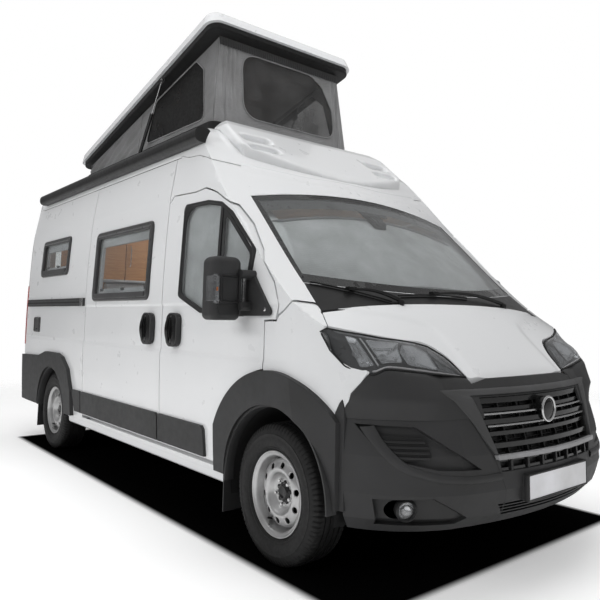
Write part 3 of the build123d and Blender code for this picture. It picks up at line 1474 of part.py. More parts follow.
WHEEL_X, WHEEL_Y, WHEEL_Z = 1330, 390, 1180
with BuildPart() as dashboard:
    with BuildSketch(Plane.XZ):
        with BuildLine():
            Polyline((1480, 900), (1470, 1130), (1560, 1200), (1845, 1200), (1845, 1120), (1700, 900), close=True)
        make_face()
    extrude(amount=860, both=True)
    add(inner, mode=Mode.INTERSECT)
    column = Plane(origin=(WHEEL_X, WHEEL_Y, WHEEL_Z), x_dir=(0, 1, 0), z_dir=(-0.82, 0, 0.57))
    with BuildSketch(column.offset(-220)):
        Circle(32)
    extrude(amount=220)
    with BuildSketch(column.offset(-8)):
        Circle(70)
        Rectangle(360, 34)
        with Locations((0, -90)):
            Rectangle(34, 180)
    extrude(amount=16)
    ring_start = Plane(origin=column.origin + column.x_dir * 185, x_dir=column.x_dir, z_dir=column.y_dir)
    with BuildSketch(ring_start):
        Circle(14)
    revolve(axis=Axis(column.origin, column.z_dir))
save(dashboard, "dashboard")

with BuildPart() as furniture:
    with BuildSketch(Plane.XY.offset(FLOOR_Z)):
        with Locations((-420, 640)):
            Rectangle(1300, 480)
        with Locations((-2080, 0)):
            Rectangle(950, 1400)
    extrude(amount=360)
    with BuildSketch(Plane.XY.offset(FLOOR_Z + 360)):
        with Locations((-420, 640)):
            Rectangle(1300, 480)
    extrude(amount=520)
    with BuildSketch(Plane.XY.offset(FLOOR_Z + 360)):
        with Locations((-1115, -770)):
            Rectangle(300, 280)
    extrude(amount=1200)
save(furniture, "furniture")
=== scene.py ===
# %% [markdown]
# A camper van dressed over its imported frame: a white high-roof van with a pop-top sleeping roof standing open.
# The frame comes first, because every piece below rides on one of its bodies. Lengths are metres. +X is forward,
# +Y is the driver's left and +Z is up.

# %% Load the frame
import bpy
import bmesh
import json
import math
import numpy as np
from mathutils import Matrix, Vector


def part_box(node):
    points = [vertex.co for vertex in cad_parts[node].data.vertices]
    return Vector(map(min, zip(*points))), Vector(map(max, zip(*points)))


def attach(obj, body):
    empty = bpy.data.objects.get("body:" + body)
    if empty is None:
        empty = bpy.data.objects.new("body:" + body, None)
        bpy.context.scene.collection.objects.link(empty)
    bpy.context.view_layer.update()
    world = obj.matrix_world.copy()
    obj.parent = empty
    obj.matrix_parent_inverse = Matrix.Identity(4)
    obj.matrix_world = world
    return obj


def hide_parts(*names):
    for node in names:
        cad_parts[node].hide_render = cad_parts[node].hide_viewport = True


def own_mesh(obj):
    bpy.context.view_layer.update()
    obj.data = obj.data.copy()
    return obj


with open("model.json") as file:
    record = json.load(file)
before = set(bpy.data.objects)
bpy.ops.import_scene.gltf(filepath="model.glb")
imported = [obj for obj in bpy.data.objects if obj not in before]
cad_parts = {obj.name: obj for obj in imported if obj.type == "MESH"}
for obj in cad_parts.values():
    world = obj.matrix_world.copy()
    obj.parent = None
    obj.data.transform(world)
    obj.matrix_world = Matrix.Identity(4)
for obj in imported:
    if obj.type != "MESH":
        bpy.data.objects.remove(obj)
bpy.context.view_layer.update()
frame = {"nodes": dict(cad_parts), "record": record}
nodes = frame["nodes"]
scene = bpy.context.scene

# %% [markdown]
# The camera stands low at the front right corner, about 2.3 m from the bumper, so the nose looms and the tail
# runs away quickly. Its direction is written as yaw, pitch and roll, and a small lens shift puts the horizon where
# the standing verticals need it.

# %% Camera
EYE = Vector((4.3511, -2.8569, 1.2034))
YAW, PITCH, ROLL = 2.4249, 0.0927, 0.0159
SENSOR_MM = 36.0
FOCAL_PX, IMAGE_PX = 628.35, 600.0
SHIFT_PX = (-40.0, -40.0)          # lens shift, right and up
NEAR_CLIP, FAR_CLIP = 0.05, 200


def camera_axes(yaw, pitch, roll):
    """Right, up and forward directions of the camera."""
    forward = Vector((math.cos(yaw) * math.cos(pitch), math.sin(yaw) * math.cos(pitch), math.sin(pitch)))
    right0 = Vector((math.sin(yaw), -math.cos(yaw), 0))
    up0 = right0.cross(forward)
    right = right0 * math.cos(roll) + up0 * math.sin(roll)
    up = -right0 * math.sin(roll) + up0 * math.cos(roll)
    return right, up, forward


right, up, forward = camera_axes(YAW, PITCH, ROLL)
cam_data = bpy.data.cameras.new("camera")
cam_data.sensor_width = SENSOR_MM
cam_data.lens = SENSOR_MM * FOCAL_PX / IMAGE_PX
cam_data.shift_x, cam_data.shift_y = (shift / IMAGE_PX for shift in SHIFT_PX)
cam_data.clip_start, cam_data.clip_end = NEAR_CLIP, FAR_CLIP
camera = bpy.data.objects.new("camera", cam_data)
scene.collection.objects.link(camera)
camera.matrix_world = Matrix((
    (right.x, up.x, -forward.x, EYE.x),
    (right.y, up.y, -forward.y, EYE.y),
    (right.z, up.z, -forward.z, EYE.z),
    (0, 0, 0, 1),
))
scene.camera = camera
print("lens", round(cam_data.lens, 2), "mm")

# %% [markdown]
# The room is a pale floor that fades into a white surround, with wide soft lamps overhead and on both sides. Glossy
# white paint shows its shape only by what it mirrors, so large dim panels and one long bright one give the flanks
# a gradient instead of an even white.

# %% Studio
world = bpy.data.worlds.new("studio")
world.use_nodes = True
scene.world = world
wt = world.node_tree
wt.nodes.clear()
WORLD_NODES = ("OutputWorld", "MixShader", "LightPath", "Background", "Background", "ValToRGB", "SeparateXYZ",
               "TexCoord", "Math")
w_out, w_mix, w_path, w_soft, w_white, w_ramp, w_sep, w_coord, w_map = (
    wt.nodes.new("ShaderNode" + kind) for kind in WORLD_NODES)
w_map.operation = "MULTIPLY_ADD"
w_map.inputs[1].default_value = w_map.inputs[2].default_value = 0.5
SKY = ((0.44, 0.10), (1.0, 0.75), (0.50, 0.16), (0.56, 0.42), (0.72, 0.62))      # place and grey, ends first
SKY_BLUE, SKY_STRENGTH = 1.01, 0.54
greys = w_ramp.color_ramp.elements
for index, (place, grey) in enumerate(SKY):
    element = greys[index] if index < 2 else greys.new(place)
    element.position = place
    element.color = (grey, grey, grey * SKY_BLUE if index > 1 else grey, 1)
w_soft.inputs["Strength"].default_value = SKY_STRENGTH
w_white.inputs["Color"].default_value = (1, 1, 1, 1)
w_white.inputs["Strength"].default_value = 1.0
for source, target in ((w_coord.outputs["Generated"], w_sep.inputs[0]), (w_sep.outputs["Z"], w_map.inputs[0]),
                       (w_map.outputs[0], w_ramp.inputs[0]), (w_ramp.outputs[0], w_soft.inputs["Color"]),
                       (w_path.outputs["Is Camera Ray"], w_mix.inputs[0]), (w_soft.outputs[0], w_mix.inputs[1]),
                       (w_white.outputs[0], w_mix.inputs[2]), (w_mix.outputs[0], w_out.inputs[0])):
    wt.links.new(source, target)

LAMPS = (
    # name, place, aims at, width, height, watts, mirrored in paint and glass
    ("lamp_top", (0.3, -0.4, 7.2), (0.0, 0.0, 1.0), 7.0, 4.0, 300, False),
    ("lamp_side", (0.2, -7.6, 3.6), (0.0, 0.0, 1.2), 8.0, 1.6, 225, False),
    ("lamp_nose", (7.4, 1.2, 3.4), (2.0, 0.0, 1.0), 2.2, 5.0, 62, False),
    ("lamp_far", (-1.0, 6.5, 4.5), (0.0, 0.0, 1.0), 6.0, 2.0, 110, False),
    ("lamp_tube", (-1.8, -5.2, 5.6), (1.2, -0.5, 1.6), 2.6, 0.16, 14, True),
)


def add_lamp(name, place, aim, width, height, watts, mirrored=False):
    """An area lamp: square without a height, and shining straight down without an aim."""
    lamp = bpy.data.lights.new(name, "AREA")
    lamp.size, lamp.energy = width, watts
    if height:
        lamp.shape, lamp.size_y = "RECTANGLE", height
    lamp_object = bpy.data.objects.new(name, lamp)
    scene.collection.objects.link(lamp_object)
    lamp_object.visible_glossy = mirrored
    lamp_object.location = place
    if aim:
        lamp_object.rotation_mode = "QUATERNION"
        lamp_object.rotation_quaternion = (Vector(aim) - Vector(place)).to_track_quat("-Z", "Y")


for lamp_row in LAMPS:
    add_lamp(*lamp_row)

scene.view_settings.view_transform = "Standard"
print("lamps", len(LAMPS))

# %% [markdown]
# Every finish is a small node tree. They share a few blocks: noise for slow colour change, a finer noise for
# roughness, a bump, and on moulded plastic and the other hard parts, though not on the paint, a bevel that softens
# their edges so they catch light. One material is made for each finish, and the imported nodes take theirs by slot.

# %% Material helpers


class Finish:
    """A node material under construction, with the few blocks that all finishes here share."""

    def __init__(self, name, colour, rough, metal=0.0):
        self.mat = bpy.data.materials.new(name)
        self.mat.use_nodes = True
        self.nodes, self.links = self.mat.node_tree.nodes, self.mat.node_tree.links
        self.bsdf = self.nodes["Principled BSDF"]
        self.set("Base Color", (*colour, 1)).set("Roughness", rough).set("Metallic", metal)
        self.coord = self.add("TexCoord").outputs["Object"]

    def put(self, socket, value):
        """Sets an input to a value, or links it where the value comes from another node."""
        if isinstance(value, bpy.types.NodeSocket):
            self.links.new(value, socket)
        else:
            socket.default_value = value
        return self

    def set(self, name, value):
        return self.put(self.bsdf.inputs[name], value)

    def add(self, kind, **inputs):
        """A new node with its inputs set or linked; an underscore stands for a space in their names."""
        node = self.nodes.new("ShaderNode" + kind)
        for name, value in inputs.items():
            self.put(node.inputs[name.replace("_", " ")], value)
        return node

    def math(self, operation, a, b=0.0, clamp=False):
        node = self.add("Math")
        node.operation, node.use_clamp = operation, clamp
        self.put(node.inputs[0], a).put(node.inputs[1], b)
        return node.outputs[0]

    def noise(self, scale, detail=4.0, rough=0.55, stretch=None):
        source = self.add("Mapping", Scale=stretch, Vector=self.coord).outputs[0] if stretch else self.coord
        return self.add("TexNoise", Scale=scale, Detail=detail, Roughness=rough, Vector=source).outputs["Fac"]

    def ramp(self, value, stops):
        node = self.add("ValToRGB")
        elements = node.color_ramp.elements
        while len(elements) < len(stops):
            elements.new(0.5)
        for element, (place, colour) in zip(elements, stops):
            element.position = place
            element.color = (*colour, 1)
        self.put(node.inputs[0], value)
        return node.outputs[0]

    def spread(self, value, low, high):
        """Maps a noise value into a range of numbers."""
        return self.add("MapRange", From_Min=0.25, From_Max=0.75, To_Min=low, To_Max=high, Value=value).outputs[0]

    def colours(self, value, dark, light):
        """Colour that wanders between two tones."""
        return self.set("Base Color", self.ramp(value, ((0.3, dark), (0.7, light))))

    def bump(self, height, strength, distance, edge=0.0):
        node = self.add("Bump", Strength=strength, Distance=distance, Height=height)
        if edge:
            bevel = self.add("Bevel", Radius=edge)
            bevel.samples = 6
            self.put(node.inputs["Normal"], bevel.outputs[0])
        return self.set("Normal", node.outputs[0])

    def mixed(self, share, under, over):
        """Shows one shader under another, by their share of each."""
        mix = self.add("MixShader")
        self.put(mix.inputs[0], share).put(mix.inputs[1], under.outputs[0]).put(mix.inputs[2], over.outputs[0])
        self.put(self.nodes["Material Output"].inputs["Surface"], mix.outputs[0])
        return self.mat


def paint():
    f = Finish("paint_white", (0.80, 0.81, 0.82), 0.30)
    f.colours(f.noise(1.3, 2.0), (0.785, 0.795, 0.805), (0.815, 0.822, 0.83))
    f.set("Roughness", f.spread(f.noise(9.0, 5.0), 0.26, 0.34))
    f.set("Coat Weight", 1.0).set("Coat Roughness", 0.035).set("Coat IOR", 1.5)
    f.bump(f.noise(260.0, 2.0), 0.02, 0.0004)
    return f.mat


def plastic(name, tone, rough, grain=0.22, edge=0.004):
    f = Finish(name, (tone, tone, tone * 1.03), rough)
    f.colours(f.noise(3.0, 5.0), (tone * 0.82,) * 3, (tone * 1.18, tone * 1.18, tone * 1.22))
    f.set("Roughness", f.spread(f.noise(24.0, 6.0), rough - 0.06, rough + 0.07))
    f.bump(f.noise(620.0, 3.0, 0.7), grain, 0.0006, edge=edge)
    return f.mat


def metal(name, tone, rough, edge=0.001):
    f = Finish(name, (tone, tone, tone), rough, 1.0)
    f.colours(f.noise(12.0, 6.0), (tone * 0.86,) * 3, (tone * 1.08,) * 3)
    f.set("Roughness", f.spread(f.noise(45.0, 6.0), rough - 0.07, rough + 0.1))
    f.bump(f.noise(300.0, 4.0), 0.06, 0.0004, edge=edge)
    return f.mat


GLASS_IOR = 1.52


def glass(name, tint, alpha_mix, rough=0.01):
    """Thin glass: a mirror coat by angle over a tinted see-through sheet."""
    f = Finish(name, tint, rough)
    ior = f.math("MULTIPLY", f.add("NewGeometry").outputs["Backfacing"], 1 / GLASS_IOR - GLASS_IOR)
    fresnel = f.add("Fresnel", IOR=f.math("ADD", ior, GLASS_IOR))
    stain = f.ramp(f.noise(2.2, 3.0), ((0.3, tuple(t * 0.94 for t in tint)), (0.7, tint)))
    gloss = f.add("BsdfGlossy", Color=(1, 1, 1, 1), Roughness=f.spread(f.noise(1.1, 2.0), rough, rough + 0.012))
    share = f.math("ADD", fresnel.outputs[0], alpha_mix, True)
    return f.mixed(share, f.add("BsdfTransparent", Color=stain), gloss)


def lens(name, colour):
    """Coloured lens over a dark housing: deep colour with a hard clear coat."""
    f = Finish(name, colour, 0.25)
    f.colours(f.noise(30.0, 3.0), tuple(c * 0.8 for c in colour), tuple(min(1.0, c * 1.15) for c in colour))
    f.set("Roughness", f.spread(f.noise(18.0, 3.0), 0.20, 0.30))
    f.set("Coat Weight", 1.0).set("Coat Roughness", 0.03).set("Coat IOR", 1.5)
    f.bump(f.noise(90.0, 1.0), 0.10, 0.0005, edge=0.001)
    return f.mat


def rubber():
    f = Finish("rubber", (0.007, 0.007, 0.0075), 0.62)
    f.colours(f.noise(14.0, 6.0), (0.0050, 0.0050, 0.0052), (0.0105, 0.0103, 0.0100))
    f.set("Roughness", f.spread(f.noise(60.0, 5.0), 0.52, 0.74))
    f.bump(f.noise(900.0, 3.0), 0.18, 0.0005, edge=0.0012)
    return f.mat


def weave(name, tone, scale=900.0, rough=0.85, sheen=0.15):
    """Coated woven cloth: two crossed fine waves for the threads over a slow cloudy tone."""
    f = Finish(name, (tone, tone, tone), rough)
    threads = []
    for direction in ("X", "Z"):
        node = f.add("TexWave", Scale=scale / 6.0, Distortion=0.6, Vector=f.coord)
        node.wave_type = "BANDS"
        node.bands_direction = direction
        threads.append(node.outputs["Fac"])
    cloth = f.math("MULTIPLY", threads[0], threads[1])
    cloud = f.noise(5.0, 6.0)
    f.colours(f.math("ADD", f.math("MULTIPLY", cloud, 0.8), f.math("MULTIPLY", cloth, 0.2)),
              (tone * 0.78,) * 3, (tone * 1.18, tone * 1.18, tone * 1.2))
    f.set("Roughness", f.spread(cloud, rough - 0.08, rough + 0.08))
    f.set("Sheen Weight", sheen).set("Sheen Roughness", 0.5)
    f.bump(f.math("ADD", cloth, f.math("MULTIPLY", f.noise(22.0, 5.0), 3.0)), 0.35, 0.0012)
    return f.mat


def wood():
    f = Finish("wood_laminate", (0.62, 0.30, 0.12), 0.4)
    grain = f.noise(9.0, 8.0, 0.6, stretch=(1.0, 1.0, 14.0))
    f.set("Base Color",
          f.ramp(grain, ((0.25, (0.42, 0.17, 0.055)), (0.5, (0.60, 0.28, 0.10)), (0.75, (0.70, 0.36, 0.15)))))
    f.set("Roughness", f.spread(grain, 0.32, 0.48))
    f.bump(grain, 0.08, 0.0006, edge=0.002)
    return f.mat


PAINT = paint()
PLASTIC = plastic("plastic_grained", 0.030, 0.55)
PLASTIC_SMOOTH = plastic("plastic_smooth", 0.016, 0.38, grain=0.06)
GLOSS_BLACK = plastic("plastic_gloss", 0.008, 0.14, grain=0.01, edge=0.003)
ROOF_BLACK = plastic("roof_underside", 0.010, 0.6)
UNDERBODY = plastic("underbody_coat", 0.006, 0.8, grain=0.4)
TANK = plastic("tank_plastic", 0.025, 0.5)
AWNING = metal("awning_anodised", 0.085, 0.42)
STEEL = metal("steel_rod", 0.6, 0.22)
ENGINE = metal("engine_cast", 0.25, 0.55)
WHEEL_SILVER = metal("wheel_silver", 0.62, 0.34, edge=0.002)
GLASS = glass("glass_clear", (0.90, 0.915, 0.915), 0.03)
LENS = glass("lens_clear", (0.93, 0.94, 0.95), 0.02)
LENS_RED = lens("lens_red", (0.42, 0.012, 0.010))
RUBBER = rubber()
TENT = weave("tent_cloth", 0.17)
SEAT = weave("seat_cloth", 0.05, scale=500)
WOOD = wood()
SLOT_FINISH = {
    "body_paint": PAINT, "underbody": UNDERBODY, "glass": GLASS, "lamp_clear": LENS, "lamp_red": LENS_RED,
    "dark_plastic": PLASTIC, "gloss_black": GLOSS_BLACK, "engine": ENGINE, "tank": TANK, "roof_black": ROOF_BLACK,
    "tent_fabric": TENT, "awning_grey": AWNING, "seat_fabric": SEAT, "wood": WOOD, "steel": STEEL,
    "strut_black": GLOSS_BLACK, "tyre": RUBBER, "wheel_steel": WHEEL_SILVER}
for entry in frame["record"]["subparts"]:
    node_object = nodes[entry["node"]]
    node_object.data.materials.clear()
    node_object.data.materials.append(SLOT_FINISH[entry["material_slot"]])
print("finishes", len(SLOT_FINISH))

# %% [markdown]
# The pressed-steel panels are copied from their solids, cut into fine strips and then eased: the real screen and
# bonnet run in one soft curve where the solids have short flats, the flank has a shallow band pressed in between
# two soft lines at handle height, and the bonnet's middle stands a little above its sides. One smooth field moves
# every panel, so the shut lines between them keep their width.

# %% Easing field of the body
CROWN = ((0.430, 2.560, 0.023), (0.640, 2.490, 0.052), (1.258, 2.026, 0.186),
         (1.960, 1.405, 0.175), (2.240, 1.172, 0.099), (2.580, 0.850, 0.017))
CROWN_HALF = 1.080
CROWN_FADE = ((0.43, 0.60), (2.50, 2.58))      # lengths where the crown's easing comes in and goes out
crown_x, crown_z, crown_drop = np.array(CROWN).T


def eased(x, xs, values):
    """A smooth curve through the stations, by cubic pieces with averaged slopes."""
    slopes = np.gradient(values, xs)
    i = np.clip(np.searchsorted(xs, x) - 1, 0, len(xs) - 2)
    h = xs[i + 1] - xs[i]
    t = (x - xs[i]) / h
    a = 2 * t ** 3 - 3 * t ** 2 + 1
    b = t ** 3 - 2 * t ** 2 + t
    c = -2 * t ** 3 + 3 * t ** 2
    d = t ** 3 - t ** 2
    return a * values[i] + b * h * slopes[i] + c * values[i + 1] + d * h * slopes[i + 1]


def step(value, start, end):
    """0 before start, 1 after end, with soft shoulders."""
    t = np.clip((value - start) / (end - start), 0.0, 1.0)
    return t * t * (3 - 2 * t)


BAND_LOW, BAND_HIGH, BAND_DEPTH = 0.965, 1.262, 0.007      # the pressed band along the flank, by height


def ease_body(co):
    """Moves body points by the easing field. co is an array of x, y, z."""
    out = co.copy()
    x, y, z = co[:, 0], co[:, 1], co[:, 2]
    held_x = np.clip(x, crown_x[0], crown_x[-1])
    flat_z, flat_drop = np.interp(held_x, crown_x, crown_z), np.interp(held_x, crown_x, crown_drop)
    across = (y / CROWN_HALF) ** 2
    surface = flat_z - flat_drop * across
    rise = eased(held_x, crown_x, crown_z) - flat_z
    shift = rise - (eased(held_x, crown_x, crown_drop) - flat_drop) * across
    ends = step(x, *CROWN_FADE[0]) * (1 - step(x, *CROWN_FADE[1]))
    near = 1 - step(surface - z, 0.08, 0.30)
    out[:, 2] += shift * ends * near
    band = step(z, BAND_LOW, BAND_LOW + 0.03) * (1 - step(z, BAND_HIGH, BAND_HIGH + 0.022))
    band *= step(np.abs(y), 0.90, 0.95) * (1 - step(x, 1.55, 1.95)) * step(x, -2.62, -2.50)
    out[:, 1] -= np.sign(y) * BAND_DEPTH * band
    return out


def clean_copy(node):
    """The node's triangles as one welded mesh with its flat faces joined up."""
    bm = bmesh.new()
    bm.from_mesh(nodes[node].data)
    bmesh.ops.remove_doubles(bm, verts=bm.verts, dist=3e-5)
    bmesh.ops.dissolve_limit(bm, angle_limit=math.radians(0.4), verts=bm.verts, edges=bm.edges)
    return bm


def cut_planes(bm, axis, places):
    normal = Vector((axis == 0, axis == 1, axis == 2))
    for place in places:
        bmesh.ops.bisect_plane(bm, geom=bm.verts[:] + bm.edges[:] + bm.faces[:], dist=1e-6,
                               plane_co=normal * place, plane_no=normal)


def ease(bm):
    """Moves a mesh by the easing field, with its larger faces cut to triangles first."""
    bmesh.ops.triangulate(bm, faces=[f for f in bm.faces if len(f.verts) > 4])
    for vert, place in zip(bm.verts, ease_body(np.array([v.co for v in bm.verts]))):
        vert.co = place


def mesh_of(name, bm, finish, smooth_deg=35.0):
    """Turns a bmesh into a mesh with its normals outward, its finish, and edges sharp beyond an angle."""
    mesh = bpy.data.meshes.new(name)
    bmesh.ops.recalc_face_normals(bm, faces=bm.faces)
    bm.to_mesh(mesh)
    bm.free()
    mesh.polygons.foreach_set("use_smooth", [True] * len(mesh.polygons))
    mesh.set_sharp_from_angle(angle=math.radians(smooth_deg))
    mesh.materials.append(finish)
    return mesh


def to_object(name, bm, finish, body, smooth_deg=35.0):
    """Turns a bmesh into a scene piece riding on a body."""
    piece = bpy.data.objects.new(name, mesh_of(name, bm, finish, smooth_deg))
    scene.collection.objects.link(piece)
    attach(piece, body)
    return piece


def grid_steps(low, high, pitch):
    count = max(2, int(round((high - low) / pitch)))
    return [low + (high - low) * i / count for i in range(1, count)]


BAND_CUTS = [BAND_LOW + v for v in (0, 0.006, 0.012, 0.018, 0.024, 0.03)]
BAND_CUTS += [BAND_HIGH + v for v in (0, 0.005, 0.011, 0.017, 0.022)]
FLANK_PANELS = (
    # node, body, pitch along x (0 leaves the length whole), pitch up z
    ("sliding_door", "root", 0.0, 0.0),
    ("side_right", "root", 0.06, 0.0),
    ("side_left", "root", 0.06, 0.0),
    ("door_right", "door_right", 0.06, 0.05),
    ("door_left", "door_left", 0.06, 0.05),
    ("wings", "root", 0.04, 0.03),
    ("cab_frame", "root", 0.04, 0.05),
    ("cowl", "root", 0.04, 0.0),
    ("roof_panel", "root", 0.06, 0.0),
    ("roof_rails", "root", 0.06, 0.0),
)
WING_EDGE = ((2.024, 0.941), (2.118, 0.981))     # the shut line between bonnet and wing, in plan
WING_TOP = 1.0                                   # only faces above this height are cut back


def trim_wings(bm):
    """Cuts the wings' tops back to the bonnet's shut line, ahead of the cowl and behind the lamps."""
    cut_planes(bm, 0, (WING_EDGE[1][0],))
    (ax, ay), (bx, by) = WING_EDGE
    for side in (-1, 1):
        part = [f for f in bm.faces for middle in (f.calc_center_median(),)
                if middle.x < bx and middle.y * side > 0 and middle.z > WING_TOP]
        geom = list({v for f in part for v in f.verts}) + list({e for f in part for e in f.edges}) + part
        bmesh.ops.bisect_plane(bm, geom=geom, dist=1e-6, plane_co=(ax, ay * side, 0),
                               plane_no=(ay - by, (bx - ax) * side, 0), clear_inner=True)


panels = {}
for node, body, pitch_x, pitch_z in FLANK_PANELS:
    bm = clean_copy(node)
    low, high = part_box(node)
    if pitch_x:
        cut_planes(bm, 0, grid_steps(low.x, high.x, pitch_x))
    if pitch_z:
        cut_planes(bm, 2, grid_steps(low.z, high.z, pitch_z))
    if node in ("cowl", "cab_frame"):
        cut_planes(bm, 1, grid_steps(low.y, high.y, 0.06))
    if node == "wings":
        trim_wings(bm)
    cut_planes(bm, 2, [z for z in BAND_CUTS if low.z < z < high.z])
    ease(bm)
    piece = to_object("panel_" + node, bm, PLASTIC_SMOOTH if node == "cowl" else PAINT, body, 30.0)
    weights = piece.modifiers.new("weights", "WEIGHTED_NORMAL")
    weights.keep_sharp = True
    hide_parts(node)
    panels[node] = piece
    print(node, len(piece.data.polygons), "faces")

# %% [markdown]
# Trim, frames, seams and lamps all sit on curved skin. Three short formulas give the skin's place: the flank by
# height and length, the screen and bonnet by length and width, the bumper by width and height. Two tools then
# lay things on it: a band between two outlines with a moulded section, and a patch with a thickness. A third
# fills in the faces between rows of vertices, and the rest make tubes, turned parts and boxes.

# %% Surfaces of the body


def circle_through(a, b, c):
    """Centre and radius of the circle through three points of a plane."""
    (ax, ay), (bx, by), (cx, cy) = a, b, c
    d = 2 * (ax * (by - cy) + bx * (cy - ay) + cx * (ay - by))
    ux = ((ax**2 + ay**2) * (by - cy) + (bx**2 + by**2) * (cy - ay) + (cx**2 + cy**2) * (ay - by)) / d
    uy = ((ax**2 + ay**2) * (cx - bx) + (bx**2 + by**2) * (ax - cx) + (cx**2 + cy**2) * (bx - ax)) / d
    return ux, uy, math.hypot(ax - ux, ay - uy)


SILL, WAIST, CREASE = (1.003, 0.360), (1.027, 1.350), (0.996, 1.988)     # half-width and height
GUTTER, SHOULDER, EAVES = (0.955, 2.262), (0.890, 2.415), (0.740, 2.490)
PLAN_START, PLAN_MID, PLAN_CORNER = (1.500, 1.052), (2.000, 1.015), (2.330, 0.930)   # length and half-width
side_arc = circle_through(SILL, WAIST, CREASE)
shoulder_arc = circle_through(GUTTER, SHOULDER, EAVES)
plan_arc = circle_through(PLAN_START, PLAN_MID, PLAN_CORNER)


def bow(out, centre, radius, place):
    """How far out a circle stands at a place along it; its centre is given as out and along."""
    return out + np.sqrt(np.maximum(radius**2 - (place - centre)**2, 0))


def flank(x, z):
    """Half-width of the skin at a length and height."""
    x, z = np.asarray(x, float), np.asarray(z, float)
    mid = CREASE[0] + (GUTTER[0] - CREASE[0]) * (z - CREASE[1]) / (GUTTER[1] - CREASE[1])
    section = np.where(z < CREASE[1], bow(*side_arc, z), np.where(z < GUTTER[1], mid, bow(*shoulder_arc, z)))
    plan = bow(plan_arc[1], plan_arc[0], plan_arc[2], x)
    return np.minimum(section, np.where(x < PLAN_START[0], PLAN_START[1], plan))


def on_flank(x, z, lift):
    """The right flank, before its pressed band."""
    return np.stack([x, -(flank(x, z) + lift), z], 1)


def on_crown(x, y, lift):
    """Screen and bonnet, after easing; their slope makes a lift taller than it is thick."""
    z = eased(x, crown_x, crown_z) - eased(x, crown_x, crown_drop) * (y / CROWN_HALF) ** 2
    return np.stack([x, y, z + lift * CROWN_LIFT], 1)


CROWN_LIFT = 1.25
CREASE_X = (2.060, 2.105, 2.138, 2.177, 2.222, 2.263, 2.324, 2.450, 2.540)     # the bonnet's raised middle,
CREASE_Y = (0.800, 0.694, 0.620, 0.518, 0.415, 0.385, 0.375, 0.380, 0.380)     # its half-width along the length
BONNET_RISE = 0.010


def on_bonnet(x, y, lift):
    """The bonnet's skin: the crown with its middle raised between two creases."""
    out = on_crown(x, y, lift)
    edge = np.interp(x, CREASE_X, CREASE_Y)
    rise = (1 - step(np.abs(y), edge - 0.030, edge + 0.022)) * (1 - step(x, 2.47, 2.53))
    out[:, 2] += BONNET_RISE * rise
    return out


BUMPER = (
    # height, nose, half-width, shoulder behind the nose, shoulder half-width
    (0.285, 2.610, 0.955, 0.255, 0.835), (0.340, 2.665, 0.975, 0.255, 0.835), (0.450, 2.700, 0.990, 0.255, 0.835),
    (0.610, 2.690, 0.992, 0.255, 0.835), (0.760, 2.645, 0.985, 0.255, 0.835), (0.850, 2.612, 0.986, 0.207, 0.872),
    (0.945, 2.540, 0.984, 0.168, 0.885),
)
BUMPER_BACK = 2.155
NOSE_TURN, NOSE_MID = (0.090, 0.590), (0.024, 0.300)      # length behind the nose, half-width


def nose(y, z):
    """How far forward the bumper's skin is at a width and height."""
    y = np.abs(np.asarray(y, float))
    rows = []
    for height, tip, half, back, shoulder in BUMPER:
        turn = (tip - NOSE_TURN[0], NOSE_TURN[1])
        front = bow(*circle_through(turn, (tip - NOSE_MID[0], NOSE_MID[1]), (tip, 0.0)), y)
        side = bow(*circle_through((BUMPER_BACK, half), (tip - back, shoulder), turn), y)
        rows.append(np.where(y < NOSE_TURN[1], front, side))
    rows = np.array(rows)
    heights = np.array([b[0] for b in BUMPER])
    z = np.clip(np.asarray(z, float), heights[0], heights[-1] + 0.045)
    i = np.clip(np.searchsorted(heights, z) - 1, 0, len(heights) - 2)
    share = (z - heights[i]) / (heights[i + 1] - heights[i])
    pick = np.arange(len(z))
    return rows[i, pick] * (1 - share) + rows[i + 1, pick] * share


def on_nose(y, z, lift):
    return np.stack([nose(y, z) + lift, y, z], 1)


def left(place):
    """The same surface on the other side of the van."""
    return lambda a, b, lift: place(a, b, lift) * np.array([1, -1, 1])


def spot(place, a, b, lift=0.0):
    """One point on a surface."""
    return place(np.array([a]), np.array([b]), lift)[0]


# %% Bands and patches


def rounded(points, radius, steps=6):
    """An outline with its corners rounded."""
    out = []
    count = len(points)
    for i, point in enumerate(points):
        here = np.array(point, float)
        before = np.array(points[i - 1], float) - here
        after = np.array(points[(i + 1) % count], float) - here
        before_len, after_len = np.linalg.norm(before), np.linalg.norm(after)
        before, after = before / before_len, after / after_len
        half_angle = math.acos(float(np.clip(np.dot(before, after), -0.9999, 0.9999))) / 2
        reach = min(radius / math.tan(half_angle), 0.48 * min(before_len, after_len))
        start, end = here + before * reach, here + after * reach
        for s in range(steps + 1):
            t = s / steps
            out.append(start * (1 - t)**2 + here * 2 * t * (1 - t) + end * t**2)
    return np.array(out)


def inset(points, distance):
    """The same outline moved in by a distance; its corners stay corners."""
    pts = np.array(points, float)
    twice_area = np.sum(pts[:, 0] * np.roll(pts[:, 1], -1) - np.roll(pts[:, 0], -1) * pts[:, 1])
    turn = 1.0 if twice_area > 0 else -1.0
    edges = np.roll(pts, -1, 0) - pts
    edges /= np.linalg.norm(edges, axis=1)[:, None]
    normals = np.stack([-edges[:, 1], edges[:, 0]], 1) * turn
    out = []
    for i in range(len(pts)):
        n0, n1 = normals[i - 1], normals[i]
        out.append(pts[i] + (n0 + n1) * distance / (1 + float(np.dot(n0, n1))))
    return out


